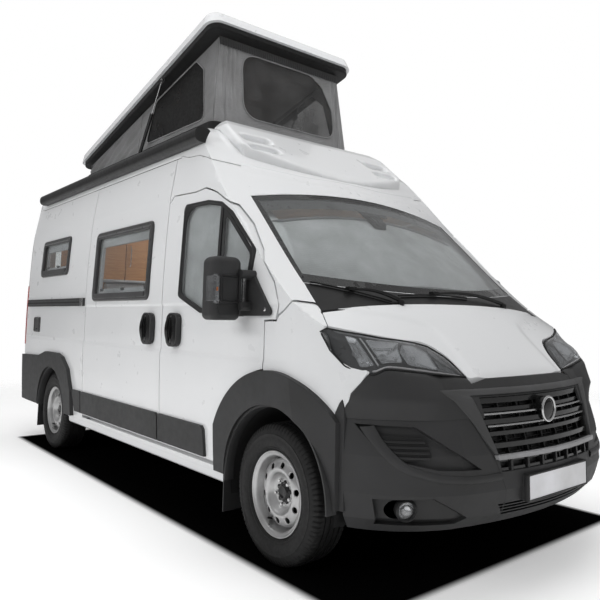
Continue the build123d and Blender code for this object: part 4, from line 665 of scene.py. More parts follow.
def arc_points(a, b, c, count=12):
    """Points on the arc from a through b to c, without the last."""
    cx, cy, r = circle_through(a, b, c)
    angles = [math.atan2(p[1] - cy, p[0] - cx) for p in (a, b, c)]
    for k in (1, 2):
        while angles[k] - angles[k - 1] > math.pi:
            angles[k] -= 2 * math.pi
        while angles[k] - angles[k - 1] < -math.pi:
            angles[k] += 2 * math.pi
    turns = np.linspace(angles[0], angles[2], count + 1)[:-1]
    return [(cx + r * math.cos(t), cy + r * math.sin(t)) for t in turns]


def box_outline(a, b, width, height):
    return [(a - width / 2, b - height / 2), (a + width / 2, b - height / 2),
            (a + width / 2, b + height / 2), (a - width / 2, b + height / 2)]


def refine(loop, pitch):
    """Adds points so that no run is longer than the pitch."""
    out = []
    for i in range(len(loop)):
        start, end = np.array(loop[i]), np.array(loop[(i + 1) % len(loop)])
        count = max(1, int(math.ceil(np.linalg.norm(end - start) / pitch)))
        out += [start + (end - start) * s / count for s in range(count)]
    return out


def fill(bm, rings, closed=True):
    """Four-sided faces between each row of vertices and the next; a closed row joins its end to its start."""
    for ring, following in zip(rings, rings[1:]):
        for i in range(len(ring) if closed else len(ring) - 1):
            j = (i + 1) % len(ring)
            bm.faces.new((ring[i], ring[j], following[j], following[i]))


def grow(bm, place, low, high, section, closed=True):
    """A band between two outlines; section rows are (share from low to high, lift off the skin)."""
    low, high = np.array(low), np.array(high)
    rings = []
    for share, lift in section:
        flat = low + (high - low) * share
        rings.append([bm.verts.new(p) for p in place(flat[:, 0], flat[:, 1], lift)])
    fill(bm, rings, closed)


def lay(bm, place, outline, lift, depth, pitch=0.05):
    """A patch with a thickness, cut to follow the skin."""
    flat = bmesh.new()
    flat.faces.new([flat.verts.new((p[0], p[1], 0)) for p in refine(outline, pitch)])
    pts = np.array(outline)
    for axis in (0, 1):
        span = pts[:, axis].max() - pts[:, axis].min()
        if span > pitch * 1.2:
            cut_planes(flat, axis, grid_steps(pts[:, axis].min(), pts[:, axis].max(), pitch))
    bmesh.ops.triangulate(flat, faces=[f for f in flat.faces if len(f.verts) > 4])
    flat.verts.index_update()
    co = np.array([v.co for v in flat.verts])
    top = [bm.verts.new(p) for p in place(co[:, 0], co[:, 1], lift)]
    under = [bm.verts.new(p) for p in place(co[:, 0], co[:, 1], lift - depth)]
    for face in flat.faces:
        index = [v.index for v in face.verts]
        bm.faces.new([top[i] for i in index])
        bm.faces.new([under[i] for i in reversed(index)])
    for edge in flat.edges:
        if len(edge.link_faces) == 1:
            a, b = edge.verts[0].index, edge.verts[1].index
            bm.faces.new((top[a], top[b], under[b], under[a]))
    flat.free()


def both_sides(bm):
    """Adds the mirror image on the left."""
    copied = bmesh.ops.duplicate(bm, geom=bm.verts[:] + bm.edges[:] + bm.faces[:])["geom"]
    for item in copied:
        if isinstance(item, bmesh.types.BMVert):
            item.co.y = -item.co.y


def to_side(bm, side):
    """Leaves the mesh where it is for side 1 and mirrors it across the middle for -1."""
    for vert in bm.verts:
        vert.co.y *= side


def ring_of(bm, centre, across, third, radius, count):
    """A ring of vertices round a centre, in the plane of two directions."""
    turns = (2 * math.pi * s / count for s in range(count))
    return [bm.verts.new(centre + (across * math.cos(t) + third * math.sin(t)) * radius) for t in turns]


def tube(bm, path, radius, sides=8, closed=False):
    """A round bar along points."""
    points = [Vector(p) for p in path]
    rings = []
    for i, point in enumerate(points):
        ahead = points[(i + 1) % len(points)] if closed else points[min(i + 1, len(points) - 1)]
        behind = points[i - 1] if closed else points[max(i - 1, 0)]
        along = (ahead - behind).normalized()
        across = (across - along * across.dot(along) if rings else along.orthogonal()).normalized()
        r = radius[i] if isinstance(radius, (list, tuple)) else radius
        rings.append(ring_of(bm, point, across, along.cross(across), r, sides))
    fill(bm, rings + rings[:1] if closed else rings)
    if not closed:
        bm.faces.new(rings[0][::-1])
        bm.faces.new(rings[-1])


def turned(bm, centre, axis, outline, steps=48):
    """A body of revolution; outline rows are (distance along the axis, radius)."""
    axis = Vector(axis).normalized()
    across = axis.orthogonal().normalized()
    third = axis.cross(across)
    centre = Vector(centre)
    rings = [ring_of(bm, centre + axis * along, across, third, radius, steps) for along, radius in outline]
    fill(bm, rings)
    return rings


def block(bm, low, high, bevel=0.004):
    """A box with its edges bevelled."""
    corners = bmesh.ops.create_cube(bm, size=1.0)["verts"]
    low, high = Vector(low), Vector(high)
    for vert in corners:
        vert.co = vert.co * (high - low) + (low + high) / 2
    edges = list({e for v in corners for e in v.link_edges})
    bmesh.ops.bevel(bm, geom=edges, offset=bevel, segments=2, affect="EDGES")


print("flank at the waist", round(float(flank(0.0, 1.35)), 3), "nose", round(float(nose([0.0], [0.61])[0]), 3))

# %% [markdown]
# The bonnet narrows in front of the windscreen, runs down the inner edge of each headlamp and ends in a short
# straight tongue over the grille. Its middle stands a centimetre proud between two creases. It is made as one
# pressed skin over the crown, so the lamps can sweep far inboard beside it.

# %% Bonnet
BONNET_SIDE = [(2.024, 0.938), (2.070, 0.959)]
BONNET_SIDE += arc_points((2.116, 0.978), (2.230, 0.788), (2.294, 0.578), 16)
BONNET_SIDE += arc_points((2.294, 0.578), (2.338, 0.488), (2.408, 0.442), 8) + [(2.408, 0.442)]
BONNET_FRONT = arc_points((2.488, 0.423), (2.520, 0.0), (2.488, -0.423), 20)
BONNET_BACK = arc_points((2.024, -0.938), (2.110, 0.0), (2.024, 0.938), 24)
bonnet_right = [(x, -y) for x, y in reversed(BONNET_SIDE)]
BONNET_OUTLINE = BONNET_SIDE + BONNET_FRONT + [(2.488, -0.423)] + bonnet_right[:-1] + BONNET_BACK
BONNET_SHUT = 0.003
bonnet_bm = bmesh.new()
lay(bonnet_bm, on_bonnet, inset(BONNET_OUTLINE, BONNET_SHUT), 0.0, 0.022, 0.016)
bmesh.ops.remove_doubles(bonnet_bm, verts=bonnet_bm.verts, dist=1e-5)
bonnet_skin = to_object("panel_bonnet", bonnet_bm, PAINT, "bonnet", 40.0)
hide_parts("bonnet")
print("bonnet", len(bonnet_skin.data.polygons), "faces")

# %% [markdown]
# The bumper is one large grained moulding with a raised shield round the grille, a thin dark joint beside the
# shield, pockets at its outer ends and small dark inserts. Each is a separate clip-in part on the real van, so each
# is a piece of its own here, laid on the bumper's skin.

# %% Bumper parts
# painted highlight: the lip is the bumper's dark plastic, coloured light grey where it catches the light from above
LIP_PAINTED_HIGHLIGHT = plastic("plastic_lip_painted_highlight", 0.30, 0.34, grain=0.1, edge=0.005)
SHIELD_TONE = plastic("plastic_shield", 0.060, 0.46, grain=0.16, edge=0.006)
MESH_BLACK = plastic("plastic_mesh", 0.008, 0.4, grain=0.05, edge=0.001)
CHROME = metal("chrome_satin", 0.72, 0.16, edge=0.002)
RUBBER_BLACK = plastic("rubber_black", 0.008, 0.5, grain=0.03, edge=0.001)
PLATE_WHITE = plastic("plate_white", 0.78, 0.42, grain=0.02, edge=0.001)


USUAL_SLOT = {PAINT: "body_paint", GLOSS_BLACK: "gloss_black", MESH_BLACK: "gloss_black", CHROME: "wheel_steel",
              LENS: "lamp_clear"}


def made(name, bm, finish, body="root", slot_name=None, smooth=35.0, paired=False):
    """Finishes a mesh as a piece with its finish and body; a paired one also gets its mirror image. The slot name is
    not used.
    """
    slot_name = slot_name or USUAL_SLOT.get(finish, "dark_plastic")
    if paired:
        both_sides(bm)
    bmesh.ops.remove_doubles(bm, verts=bm.verts, dist=1e-5)
    piece = to_object(name, bm, finish, body, smooth)
    return piece


def matched(corners, runs=8):
    """A loop through corners with the same number of points on every run."""
    out = []
    for i, corner in enumerate(corners):
        a, b = np.array(corner, float), np.array(corners[(i + 1) % len(corners)], float)
        out += [a + (b - a) * s / runs for s in range(runs)]
    return np.array(out)


def both(points):
    """A right-hand run of corners and its mirror image, as one loop."""
    return list(points) + [(-y, z) for y, z in reversed(points)]


def offset_run(points, distance):
    """An open run of points moved sideways."""
    pts = np.array(points, float)
    along = np.gradient(pts, axis=0)
    along /= np.linalg.norm(along, axis=1)[:, None]
    return pts + np.stack([-along[:, 1], along[:, 0]], 1) * distance


def smooth_run(points, steps=8):
    """A soft curve through a few points."""
    pts = np.array(points, float)
    place = np.concatenate([[0], np.cumsum(np.linalg.norm(np.diff(pts, axis=0), axis=1))])
    fine = np.linspace(0, place[-1], steps * (len(pts) - 1) + 1)
    return np.stack([eased(fine, place, pts[:, 0]), eased(fine, place, pts[:, 1])], 1)


def ridge(bm, place, points, width, lift):
    """A soft raised line along a run of points."""
    line = smooth_run(points)
    grow(bm, place, offset_run(line, -width / 2), offset_run(line, width / 2),
         ((0.0, -0.004), (0.12, lift * 0.55), (0.35, lift), (0.65, lift), (0.88, lift * 0.55), (1.0, -0.004)),
         closed=False)


def dark_line(bm, place, points, half_width):
    """A dark line just off the skin along a run of points."""
    line = smooth_run(points)
    grow(bm, place, offset_run(line, -half_width), offset_run(line, half_width), ((0, 0.0006), (1, 0.0006)),
         closed=False)


SHIELD_OUT = ((-0.640, 0.888), (-0.575, 0.838), (-0.510, 0.745), (-0.462, 0.655), (-0.418, 0.590))
SHIELD_IN = ((-0.486, 0.860), (-0.476, 0.842), (-0.452, 0.752), (-0.433, 0.675), (-0.414, 0.596))
bm = bmesh.new()
grow(bm, on_nose, matched(both(SHIELD_IN)), matched(both(SHIELD_OUT)),
     ((0.0, -0.012), (0.0, 0.006), (0.06, 0.010), (0.55, 0.011), (0.92, 0.007), (1.0, 0.001), (1.0, -0.004)))
made("bumper_shield", bm, SHIELD_TONE)
# the lip under the grille, in light grey as a painted highlight
bm = bmesh.new()
lay(bm, on_nose, [(-0.424, 0.584), (0.424, 0.584), (0.432, 0.604), (-0.432, 0.604)], 0.019, 0.020, 0.03)
bmesh.ops.bevel(bm, geom=[e for e in bm.edges if e.calc_face_angle(0) > 1.0], offset=0.004, segments=2,
                affect="EDGES")
made("bumper_lip", bm, LIP_PAINTED_HIGHLIGHT)

SEAM = ((-0.792, 0.945), (-0.728, 0.913), (-0.640, 0.885), (-0.578, 0.838), (-0.513, 0.742), (-0.465, 0.650),
        (-0.430, 0.585), (-0.402, 0.520), (-0.368, 0.420), (-0.368, 0.300))
POCKET_RIM = ((-0.905, 0.735), (-0.880, 0.655), (-0.827, 0.575), (-0.736, 0.532), (-0.603, 0.512), (-0.400, 0.510))
bm = bmesh.new()
for place in (on_nose, left(on_nose)):
    dark_line(bm, place, SEAM, 0.0022)
made("bumper_seams", bm, MESH_BLACK, slot_name="dark_plastic")
bm = bmesh.new()
ridge(bm, on_nose, POCKET_RIM, 0.040, 0.009)
made("bumper_ridges", bm, PLASTIC, paired=True)
print("bumper parts", 4)

# %% Grille mesh, emblem ring and inserts
bm = bmesh.new()
ROW_PITCH, CELL, BAR, MESH_BACK = 0.026, 0.088, 0.003, -0.030
rows = [0.606 + ROW_PITCH * i for i in range(10)]
for index, z in enumerate(rows):
    half = 0.412 + (z - 0.600) * 0.25
    lay(bm, on_nose, box_outline(0, z, 2 * half, BAR), MESH_BACK, 0.010, 0.06)
    if index + 1 < len(rows):
        count = int(2 * half / CELL)
        for k in range(count + 1):
            y = -half + (k + 0.5 * (index % 2)) * CELL
            if abs(y) < half - 0.004:
                lay(bm, on_nose, box_outline(y, z + ROW_PITCH / 2, BAR, ROW_PITCH), MESH_BACK, 0.010, 0.06)
made("grille_mesh", bm, GLOSS_BLACK)
bm = bmesh.new()
lay(bm, on_nose, [(-0.412, 0.600), (0.412, 0.600), (0.474, 0.850), (-0.474, 0.850)], -0.046, 0.003, 0.06)
lay(bm, on_nose, [(-0.390, 0.528), (0.390, 0.528), (0.402, 0.585), (-0.402, 0.585)], -0.030, 0.003, 0.06)
lay(bm, on_nose, [(-0.360, 0.331), (0.360, 0.331), (0.398, 0.384), (-0.398, 0.384)], -0.032, 0.003, 0.06)
made("grille_backing", bm, MESH_BLACK)

bm = bmesh.new()
for low, high, z in ((-0.440, -0.066, 0.776), (0.066, 0.440, 0.776), (-0.428, 0.428, 0.724)):
    lay(bm, on_nose, box_outline((low + high) / 2, z + 0.0005, high - low, 0.007), -0.001, 0.006, 0.03)
made("grille_strips", bm, CHROME)

EMBLEM = Vector((float(nose([0.0], [0.776])[0]) + 0.013, 0.0, 0.776))
RING_R, RING_T = 0.056, 0.0065
bm = bmesh.new()
ring_path = [EMBLEM + Vector((0.004, math.cos(t) * RING_R, math.sin(t) * RING_R * 1.04))
             for t in (2 * math.pi * s / 64 for s in range(64))]
tube(bm, ring_path, RING_T, 12, closed=True)
made("emblem_ring", bm, CHROME)
bm = bmesh.new()
DISC_SECTION = ((-0.012, 0.052), (0.001, 0.052), (0.004, 0.046), (0.0055, 0.030), (0.006, 0.001))
bm.faces.new(turned(bm, EMBLEM, (1, 0, 0), DISC_SECTION, 48)[-1])
made("emblem_disc", bm, GLOSS_BLACK)

bm = bmesh.new()
for k in range(7):
    y = -0.330 + k * 0.110
    lay(bm, on_nose, box_outline(y, 0.5565, 0.012, 0.053), 0.002, 0.030)
for z in (0.343, 0.358, 0.372):
    half = 0.362 + (z - 0.331) * 0.7
    lay(bm, on_nose, box_outline(0, z, 2 * half, 0.006), -0.004, 0.022)
made("intake_bars", bm, PLASTIC_SMOOTH)

# pocket slats at the outer end, on a dark grille of their own
bm = bmesh.new()
for k, (z, start, end) in enumerate(((0.606, -0.835, -0.728), (0.628, -0.862, -0.726), (0.650, -0.880, -0.724),
                                     (0.672, -0.890, -0.735))):
    lay(bm, on_nose, [(start, z - 0.004), (end, z - 0.006), (end, z + 0.004), (start, z + 0.006)],
        -0.006, 0.010, 0.03)
made("pocket_slats", bm, PLASTIC_SMOOTH, paired=True)
bm = bmesh.new()
lay(bm, on_nose, rounded([(-0.900, 0.700), (-0.722, 0.690), (-0.712, 0.600), (-0.825, 0.590)], 0.02),
    -0.018, 0.002, 0.03)
made("pocket_backs", bm, MESH_BLACK, slot_name="dark_plastic", paired=True)
print("pocket slats", 8)

# %% Number plate and fog lamps
PLATE_FACE_X = 2.7065
bm = bmesh.new()
block(bm, (PLATE_FACE_X, -0.260, 0.391), (PLATE_FACE_X + 0.0022, 0.260, 0.501), 0.0009)
made("plate_front", bm, PLATE_WHITE, slot_name="body_paint")
bm = bmesh.new()
frame_in, frame_out = (rounded(box_outline(0, 0.446, *size), radius)
                       for size, radius in (((0.516, 0.106), 0.004), ((0.534, 0.124), 0.008)))
grow(bm, lambda y, z, lift: np.stack([np.full(len(y), PLATE_FACE_X + lift), y, z], 1), frame_in, frame_out,
     ((0.0, 0.0), (0.0, 0.0045), (0.3, 0.006), (0.8, 0.005), (1.0, 0.001), (1.0, -0.02)))
made("plate_frame", bm, PLASTIC_SMOOTH)

FOG_Y, FOG_Z = -0.800, 0.385
fog_x = float(nose([FOG_Y], [FOG_Z])[0])
FOG_AXIS = Vector((0.86, -0.50, 0.0)).normalized()
bm = bmesh.new()
fog_at = Vector((fog_x - 0.012, FOG_Y, FOG_Z))
turned(bm, fog_at, FOG_AXIS,
       ((-0.030, 0.047), (0.004, 0.048), (0.012, 0.045), (0.015, 0.041), (0.010, 0.037), (-0.020, 0.034)), 40)
made("fog_bezels", bm, PLASTIC_SMOOTH, paired=True)
bm = bmesh.new()
turned(bm, fog_at, FOG_AXIS, ((-0.004, 0.0365), (-0.016, 0.028), (-0.024, 0.015), (-0.027, 0.002)), 32)
made("fog_reflectors", bm, CHROME, slot_name="lamp_clear", paired=True)
bm = bmesh.new()
FOG_SECTION = ((0.000, 0.037), (0.005, 0.032), (0.008, 0.020), (0.009, 0.001))
bm.faces.new(turned(bm, fog_at, FOG_AXIS, FOG_SECTION, 32)[-1])
made("fog_lenses", bm, LENS, paired=True)
print("fog lamps", 2)

# %% [markdown]
# Each headlamp is a clear cover from the wing's corner to the bonnet's tongue. Behind it, in a dark tray, stand
# three bright reflector chambers, a light bar between the first two, a stepped dark inner end and a grey strip
# along the foot. The cover is blended between its upper edge, which follows the bonnet, and its lower edge.

# %% Headlamp surface
LAMP_TRAY = plastic("lamp_tray", 0.050, 0.30, grain=0.02, edge=0.001)
LAMP_GREY = plastic("lamp_grey", 0.26, 0.28, grain=0.02, edge=0.001)
REFLECTOR = metal("lamp_reflector", 0.86, 0.14, edge=0.0)
AMBER = lens("lens_amber", (0.60, 0.16, 0.02))
LAMP_TIP = (2.085, -0.997, 1.142)
LAMP_TOP = ((2.123, -0.990), (2.171, -0.924), (2.209, -0.846), (2.247, -0.762), (2.276, -0.664), (2.299, -0.586),
            (2.324, -0.524), (2.375, -0.471), (2.410, -0.450), (2.484, -0.431))          # plan of the upper edge
LAMP_LOW = ((2.142, -0.984, 1.059), (2.223, -0.963, 0.991), (2.290, -0.935, 0.968), (2.347, -0.902, 0.960),
            (2.373, -0.855, 0.984), (2.402, -0.807, 0.980), (2.424, -0.741, 0.972), (2.444, -0.642, 0.960),
            (2.466, -0.514, 0.947), (2.482, -0.432, 0.938))
LAMP_BULGE = 0.030
LOOK = Vector((0.62, -0.45, 0.64)).normalized()                    # the way the right cover faces
LOOK_ACROSS = LOOK.cross(Vector((0, 0, 1))).normalized()
LOOK_UP = LOOK_ACROSS.cross(LOOK)
top_plan = np.array(LAMP_TOP)
lamp_top = np.vstack([[LAMP_TIP], on_crown(top_plan[:, 0], top_plan[:, 1], -0.002)])
lamp_low = np.vstack([[LAMP_TIP], LAMP_LOW])


def run_share(line):
    steps = np.concatenate([[0], np.cumsum(np.linalg.norm(np.diff(line, axis=0), axis=1))])
    return steps / steps[-1]


top_share, low_share = run_share(lamp_top), run_share(lamp_low)


def lamp_point(u, v, depth=0.0):
    """A point behind the cover: u from the outer tip inboard, v from the lower edge up, depth behind the skin."""
    low = np.array([np.interp(u, low_share, lamp_low[:, k]) for k in range(3)])
    top = np.array([np.interp(u, top_share, lamp_top[:, k]) for k in range(3)])
    swell = LAMP_BULGE * 4 * max(0.0, v * (1 - v)) * math.sin(math.pi * min(max(u, 0.0), 1.0)) ** 0.7
    return Vector(low * (1 - v) + top * v + np.array(LOOK) * (swell - depth))


def lamp_sheet(bm, depth, thick, across=44, up=12):
    """A sheet over the whole lamp; depth is a function of u and v."""
    for back in (0.0, thick):
        grid = [[bm.verts.new(lamp_point(u, v, depth(u, v) + back)) for v in (j / up for j in range(up + 1))]
                for u in (i / across for i in range(across + 1))]
        fill(bm, grid, False)


def lamp_part(name, bm, finish, smooth=35.0):
    return made("headlamp_" + name, bm, finish, slot_name="lamp_clear", smooth=smooth, paired=True)


def tray_depth(u, v):
    rim = min(u * 7, (1 - u) * 9, v * 5, (1 - v) * 5, 1.0)
    return 0.003 + 0.052 * max(rim, 0.0) ** 0.6



def inside(loop, u, v):
    """Whether a point lies in a closed loop of plane points."""
    within = False
    for (u1, v1), (u2, v2) in zip(loop, loop[1:] + loop[:1]):
        if (v1 > v) != (v2 > v) and u < u1 + (u2 - u1) * (v - v1) / (v2 - v1):
            within = not within
    return within


# the wing is opened behind each cover, seen along the way the cover faces
LAMP_REACH = 0.10
wing = bmesh.new()
wing.from_mesh(panels["wings"].data)
for side in (1, -1):
    flip = Matrix.Diagonal((1, side, 1))
    look, across, up = flip @ LOOK, flip @ LOOK_ACROSS, flip @ LOOK_UP
    rim = [flip @ lamp_point(u, 1.0) for u in np.linspace(0.004, 1.0, 16)]
    rim += [flip @ lamp_point(u, 0.0) for u in np.linspace(1.0, 0.02, 16)]
    loop = [(p.dot(across), p.dot(up)) for p in rim]
    depth = sum(p.dot(look) for p in rim) / len(rim)
    for a, b in zip(rim, rim[1:] + rim[:1]):
        if (b - a).length < 1e-4:
            continue
        middle, near = (a + b) / 2, (b - a).length / 2 + 0.05
        faces = [f for f in wing.faces if (f.calc_center_median() - middle).length < near + 0.05]
        geometry = set(faces) | {e for f in faces for e in f.edges} | {v for f in faces for v in f.verts}
        bmesh.ops.bisect_plane(wing, geom=list(geometry), plane_co=a, plane_no=(b - a).cross(look).normalized(),
                               dist=1e-5)
    doomed = []
    for face in wing.faces:
        centre = face.calc_center_median()
        if abs(centre.dot(look) - depth) < LAMP_REACH and inside(loop, centre.dot(across), centre.dot(up)):
            doomed.append(face)
    bmesh.ops.delete(wing, geom=doomed, context="FACES")
    print("lamp opening", side, len(doomed))
wing.to_mesh(panels["wings"].data)
wing.free()
bm = bmesh.new()
lamp_sheet(bm, lambda u, v: 0.0, 0.0025)
lamp_covers = lamp_part("covers", bm, LENS, 60)
bm = bmesh.new()
lamp_sheet(bm, tray_depth, 0.003)
lamp_trays = lamp_part("trays", bm, LAMP_TRAY, 60)
for piece in (lamp_covers, lamp_trays):
    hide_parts("front_lamps")
bm = bmesh.new()
edge_loop = [lamp_point(u, 1.0, 0.001) for u in np.linspace(0.0, 1.0, 60)]
edge_loop += [lamp_point(u, 0.0, 0.001) for u in np.linspace(1.0, 0.0, 60)[:-1]]
tube(bm, edge_loop, 0.0045, 8, closed=True)
made("headlamp_seals", bm, RUBBER_BLACK, slot_name="tyre", paired=True)

# %% Chambers, bars and the stepped inner end
CHAMBERS = (
    # outline in u and v, centre u and v, depth at the rim, depth at the centre
    (((0.165, 0.860), (0.235, 0.850), (0.395, 0.210), (0.330, 0.110)), (0.270, 0.480), 0.014, 0.050),
    (((0.290, 0.860), (0.500, 0.900), (0.512, 0.600), (0.560, 0.210), (0.455, 0.170)), (0.430, 0.520), 0.012, 0.052),
    (((0.536, 0.800), (0.600, 0.860), (0.700, 0.680), (0.800, 0.180), (0.600, 0.170), (0.532, 0.500)),
     (0.620, 0.480), 0.012, 0.048),
)
bowls, bulbs, bars = bmesh.new(), bmesh.new(), bmesh.new()
for outline, centre, rim_depth, mid_depth in CHAMBERS:
    loop = rounded(outline, 0.05, 5)
    rings = []
    for share in (1.0, 0.93, 0.80, 0.62, 0.42, 0.22):
        depth = rim_depth + (mid_depth - rim_depth) * (1 - share ** 2)
        places = np.array(centre) + (loop - centre) * share
        rings.append([bowls.verts.new(lamp_point(u, v, depth)) for u, v in places])
    fill(bowls, rings)
    bowls.faces.new(rings[-1])
    tube(bars, [lamp_point(u, v, rim_depth - 0.002) for u, v in loop], 0.0022, 6, closed=True)
    facing = (lamp_point(*centre, 0.0) - lamp_point(*centre, 0.01)).normalized()
    seat = lamp_point(*centre, mid_depth - 0.002)
    turned(bulbs, seat, facing, ((0.0, 0.017), (0.006, 0.017), (0.007, 0.013), (0.002, 0.011), (0.004, 0.009),
                                 (0.012, 0.006), (0.015, 0.001)), 24)
LIGHT_BARS = (
    # start u and v, end u and v, depth, radius
    ((0.262, 0.840), (0.425, 0.170), 0.006, 0.0050),
    ((0.330, 0.700), (0.480, 0.740), 0.030, 0.0030),
    ((0.390, 0.420), (0.540, 0.360), 0.026, 0.0045),
    ((0.430, 0.300), (0.555, 0.240), 0.022, 0.0035),
    ((0.580, 0.300), (0.770, 0.220), 0.020, 0.0045),
    ((0.225, 0.700), (0.300, 0.380), 0.030, 0.0030),
)
for start, end, depth, radius in LIGHT_BARS:
    tube(bars, [lamp_point(start[0] + (end[0] - start[0]) * s / 8, start[1] + (end[1] - start[1]) * s / 8, depth)
                for s in range(9)], radius, 6)
lamp_part("bowls", bowls, REFLECTOR, 50)
lamp_part("bulbs", bulbs, CHROME, 50)
lamp_part("bars", bars, CHROME, 50)
bm = bmesh.new()
STEPS = (((0.700, 0.930), (0.890, 0.560), (0.820, 0.500), (0.715, 0.720), 0.010),
         ((0.760, 0.560), (0.900, 0.480), (0.940, 0.300), (0.800, 0.300), 0.016),
         ((0.790, 0.260), (0.945, 0.260), (0.965, 0.140), (0.800, 0.120), 0.011))
for *corners, depth in STEPS:
    faces = []
    for back in (0.0, 0.006):
        faces.append([bm.verts.new(lamp_point(u, v, depth + back)) for u, v in rounded(corners, 0.02, 3)])
    bm.faces.new(faces[0])
    bm.faces.new(faces[1][::-1])
    fill(bm, faces)
lamp_part("steps", bm, plastic("lamp_step", 0.10, 0.25, grain=0.02, edge=0.002))
bm = bmesh.new()
tube(bm, [lamp_point(u, 0.055, 0.004) for u in np.linspace(0.40, 0.955, 24)], 0.0055, 8)
tube(bm, [lamp_point(u, 0.945, 0.006) for u in np.linspace(0.10, 0.62, 24)], 0.0040, 8)
lamp_part("strips", bm, LAMP_GREY, 60)
print("headlamps", 2, "chambers", 2 * len(CHAMBERS))

# %% [markdown]
# Under each lamp the bumper's shoulder comes out flush with the wing and closes the corner below the cover. It is
# a moulded cap seated on the bumper, from the wing's shut line round to the grille shield.

# %% Bumper shoulders
SHUT_LOW, SHUT_HIGH = (2.217, 0.789), (2.337, 0.962)     # side view of the shut line behind the bumper
WIDEST, INNER_END = 0.985, 0.436                         # half-widths where the shoulder starts and ends


def shoulder_length(half_width, z):
    """How far forward the bumper's skin is at one width and height."""
    return float(nose([half_width], [z])[0])


bm = bmesh.new()
foot_z, across, up = 0.762, 40, 12
low_y = np.abs(lamp_low[::-1, 1])
low_z = lamp_low[::-1, 2]
grids = []
for skin in (0.0015, -0.010):
    grid = []
    for i in range(across + 1):
        column = []
        for j in range(up + 1):
            share = j / up
            z_guess = foot_z + share * (0.955 - foot_z)
            shut_share = max(0.0, (z_guess - SHUT_LOW[1]) / (SHUT_HIGH[1] - SHUT_LOW[1]))
            shut_x = SHUT_LOW[0] + (SHUT_HIGH[0] - SHUT_LOW[0]) * shut_share
            wide = WIDEST
            while shoulder_length(wide, z_guess) < shut_x and wide > 0.7:
                wide -= 0.002
            y = wide + (INNER_END - wide) * (1 - (1 - i / across) ** 1.6)
            top = float(np.interp(y, low_y, low_z)) - 0.006
            z = foot_z + share * (min(top, 0.984) - foot_z)
            x = shoulder_length(y, z)
            edge = 0.006 * step(share, 0.90, 1.0)
            column.append(bm.verts.new((x + skin - edge * 1.5, -(y + skin * 0.5), z)))
        grid.append(column)
    grids.append(grid)
for grid in grids:
    fill(bm, grid, False)
front, back = grids
for i in range(across):
    for j in (0, up):
        bm.faces.new((front[i][j], front[i + 1][j], back[i + 1][j], back[i][j]))
for i in (0, across):
    for j in range(up):
        bm.faces.new((front[i][j], front[i][j + 1], back[i][j + 1], back[i][j]))
made("bumper_shoulders", bm, PLASTIC, smooth=50, paired=True)
print("bumper shoulders", 2)

# %% [markdown]
# Above the windscreen the roof skin meets the header. The joint is filled with sealant and painted over, so it
# shows only as a low, wide bead.

# %% Header seam
SEAM_KINK = (1.167, 2.087)                            # the seam's corner in side view, and its slopes either way
SEAM_BACK, SEAM_FORWARD = (2.268 - 2.087) / (1.167 - 0.562), (2.300 - 2.087) / (1.300 - 1.167)
seam = []
for y in np.linspace(-0.80, 0.80, 33):
    xs = np.linspace(0.85, 1.35, 201)
    above = on_crown(xs, np.full(201, y), 0.0)[:, 2] - SEAM_KINK[1]
    above -= np.where(xs < SEAM_KINK[0], (SEAM_KINK[0] - xs) * SEAM_BACK, (xs - SEAM_KINK[0]) * SEAM_FORWARD)
    seam.append((float(np.interp(0.0, -above, xs)), y))
bm = bmesh.new()
ridge(bm, on_crown, [(x - 0.012, y) for x, y in seam], 0.085, 0.0026)
made("header_seam", bm, PAINT, smooth=60)
print("header seam", len(seam))

# %% [markdown]
# The windscreen is eased like the panels round it. Behind its edge is a printed black border, deeper at the top
# where the camera housing sits, and behind the glass hangs a pleated blind, as campers have for the night.

# %% Windscreen
CLOTH_GREY = weave("blind_cloth", 0.66, scale=700, rough=0.8, sheen=0.05)
FRIT = plastic("screen_border", 0.012, 0.25, grain=0.0, edge=0.0)
TOP_TINT = plastic("screen_top_band", 0.085, 0.30, grain=0.0, edge=0.0)


def eased_solid(node, finish, pitch=0.04):
    """A copy of a fixed solid, moved by the easing field so it stays flush with the panels."""
    bm = clean_copy(node)
    low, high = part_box(node)
    for axis in (0, 1):
        cut_planes(bm, axis, grid_steps(low[axis], high[axis], pitch))
    ease(bm)
    piece = to_object("eased_" + node, bm, finish, "root", 30.0)
    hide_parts(node)
    return piece


eased_solid("windscreen", GLASS, 0.05)


def screen_loop(side, top, foot, runs=26):
    """The screen's outline in plan, moved in by amounts at its sides, top and foot."""
    def arc(start, mid):
        circle = circle_through(start, mid, (start[0], -start[1]))
        return [(float(bow(*circle, y)), y) for y in np.linspace(start[1], -start[1], runs + 1)[:-1]]

    def side_run(start, end):
        return [(start[0] + (end[0] - start[0]) * s / runs, start[1] + (end[1] - start[1]) * s / runs)
                for s in range(runs)]
    top_left, top_right = (1.250 + top, -0.862 + side), (1.250 + top, 0.862 - side)
    foot_left, foot_right = (1.830 - foot, -0.905 + side), (1.830 - foot, 0.905 - side)
    return np.array(arc(top_left, (1.292 + top, 0.0)) + side_run(top_right, foot_right)
                    + arc(foot_right, (2.040 - foot, 0.0)) + side_run(foot_left, top_left))


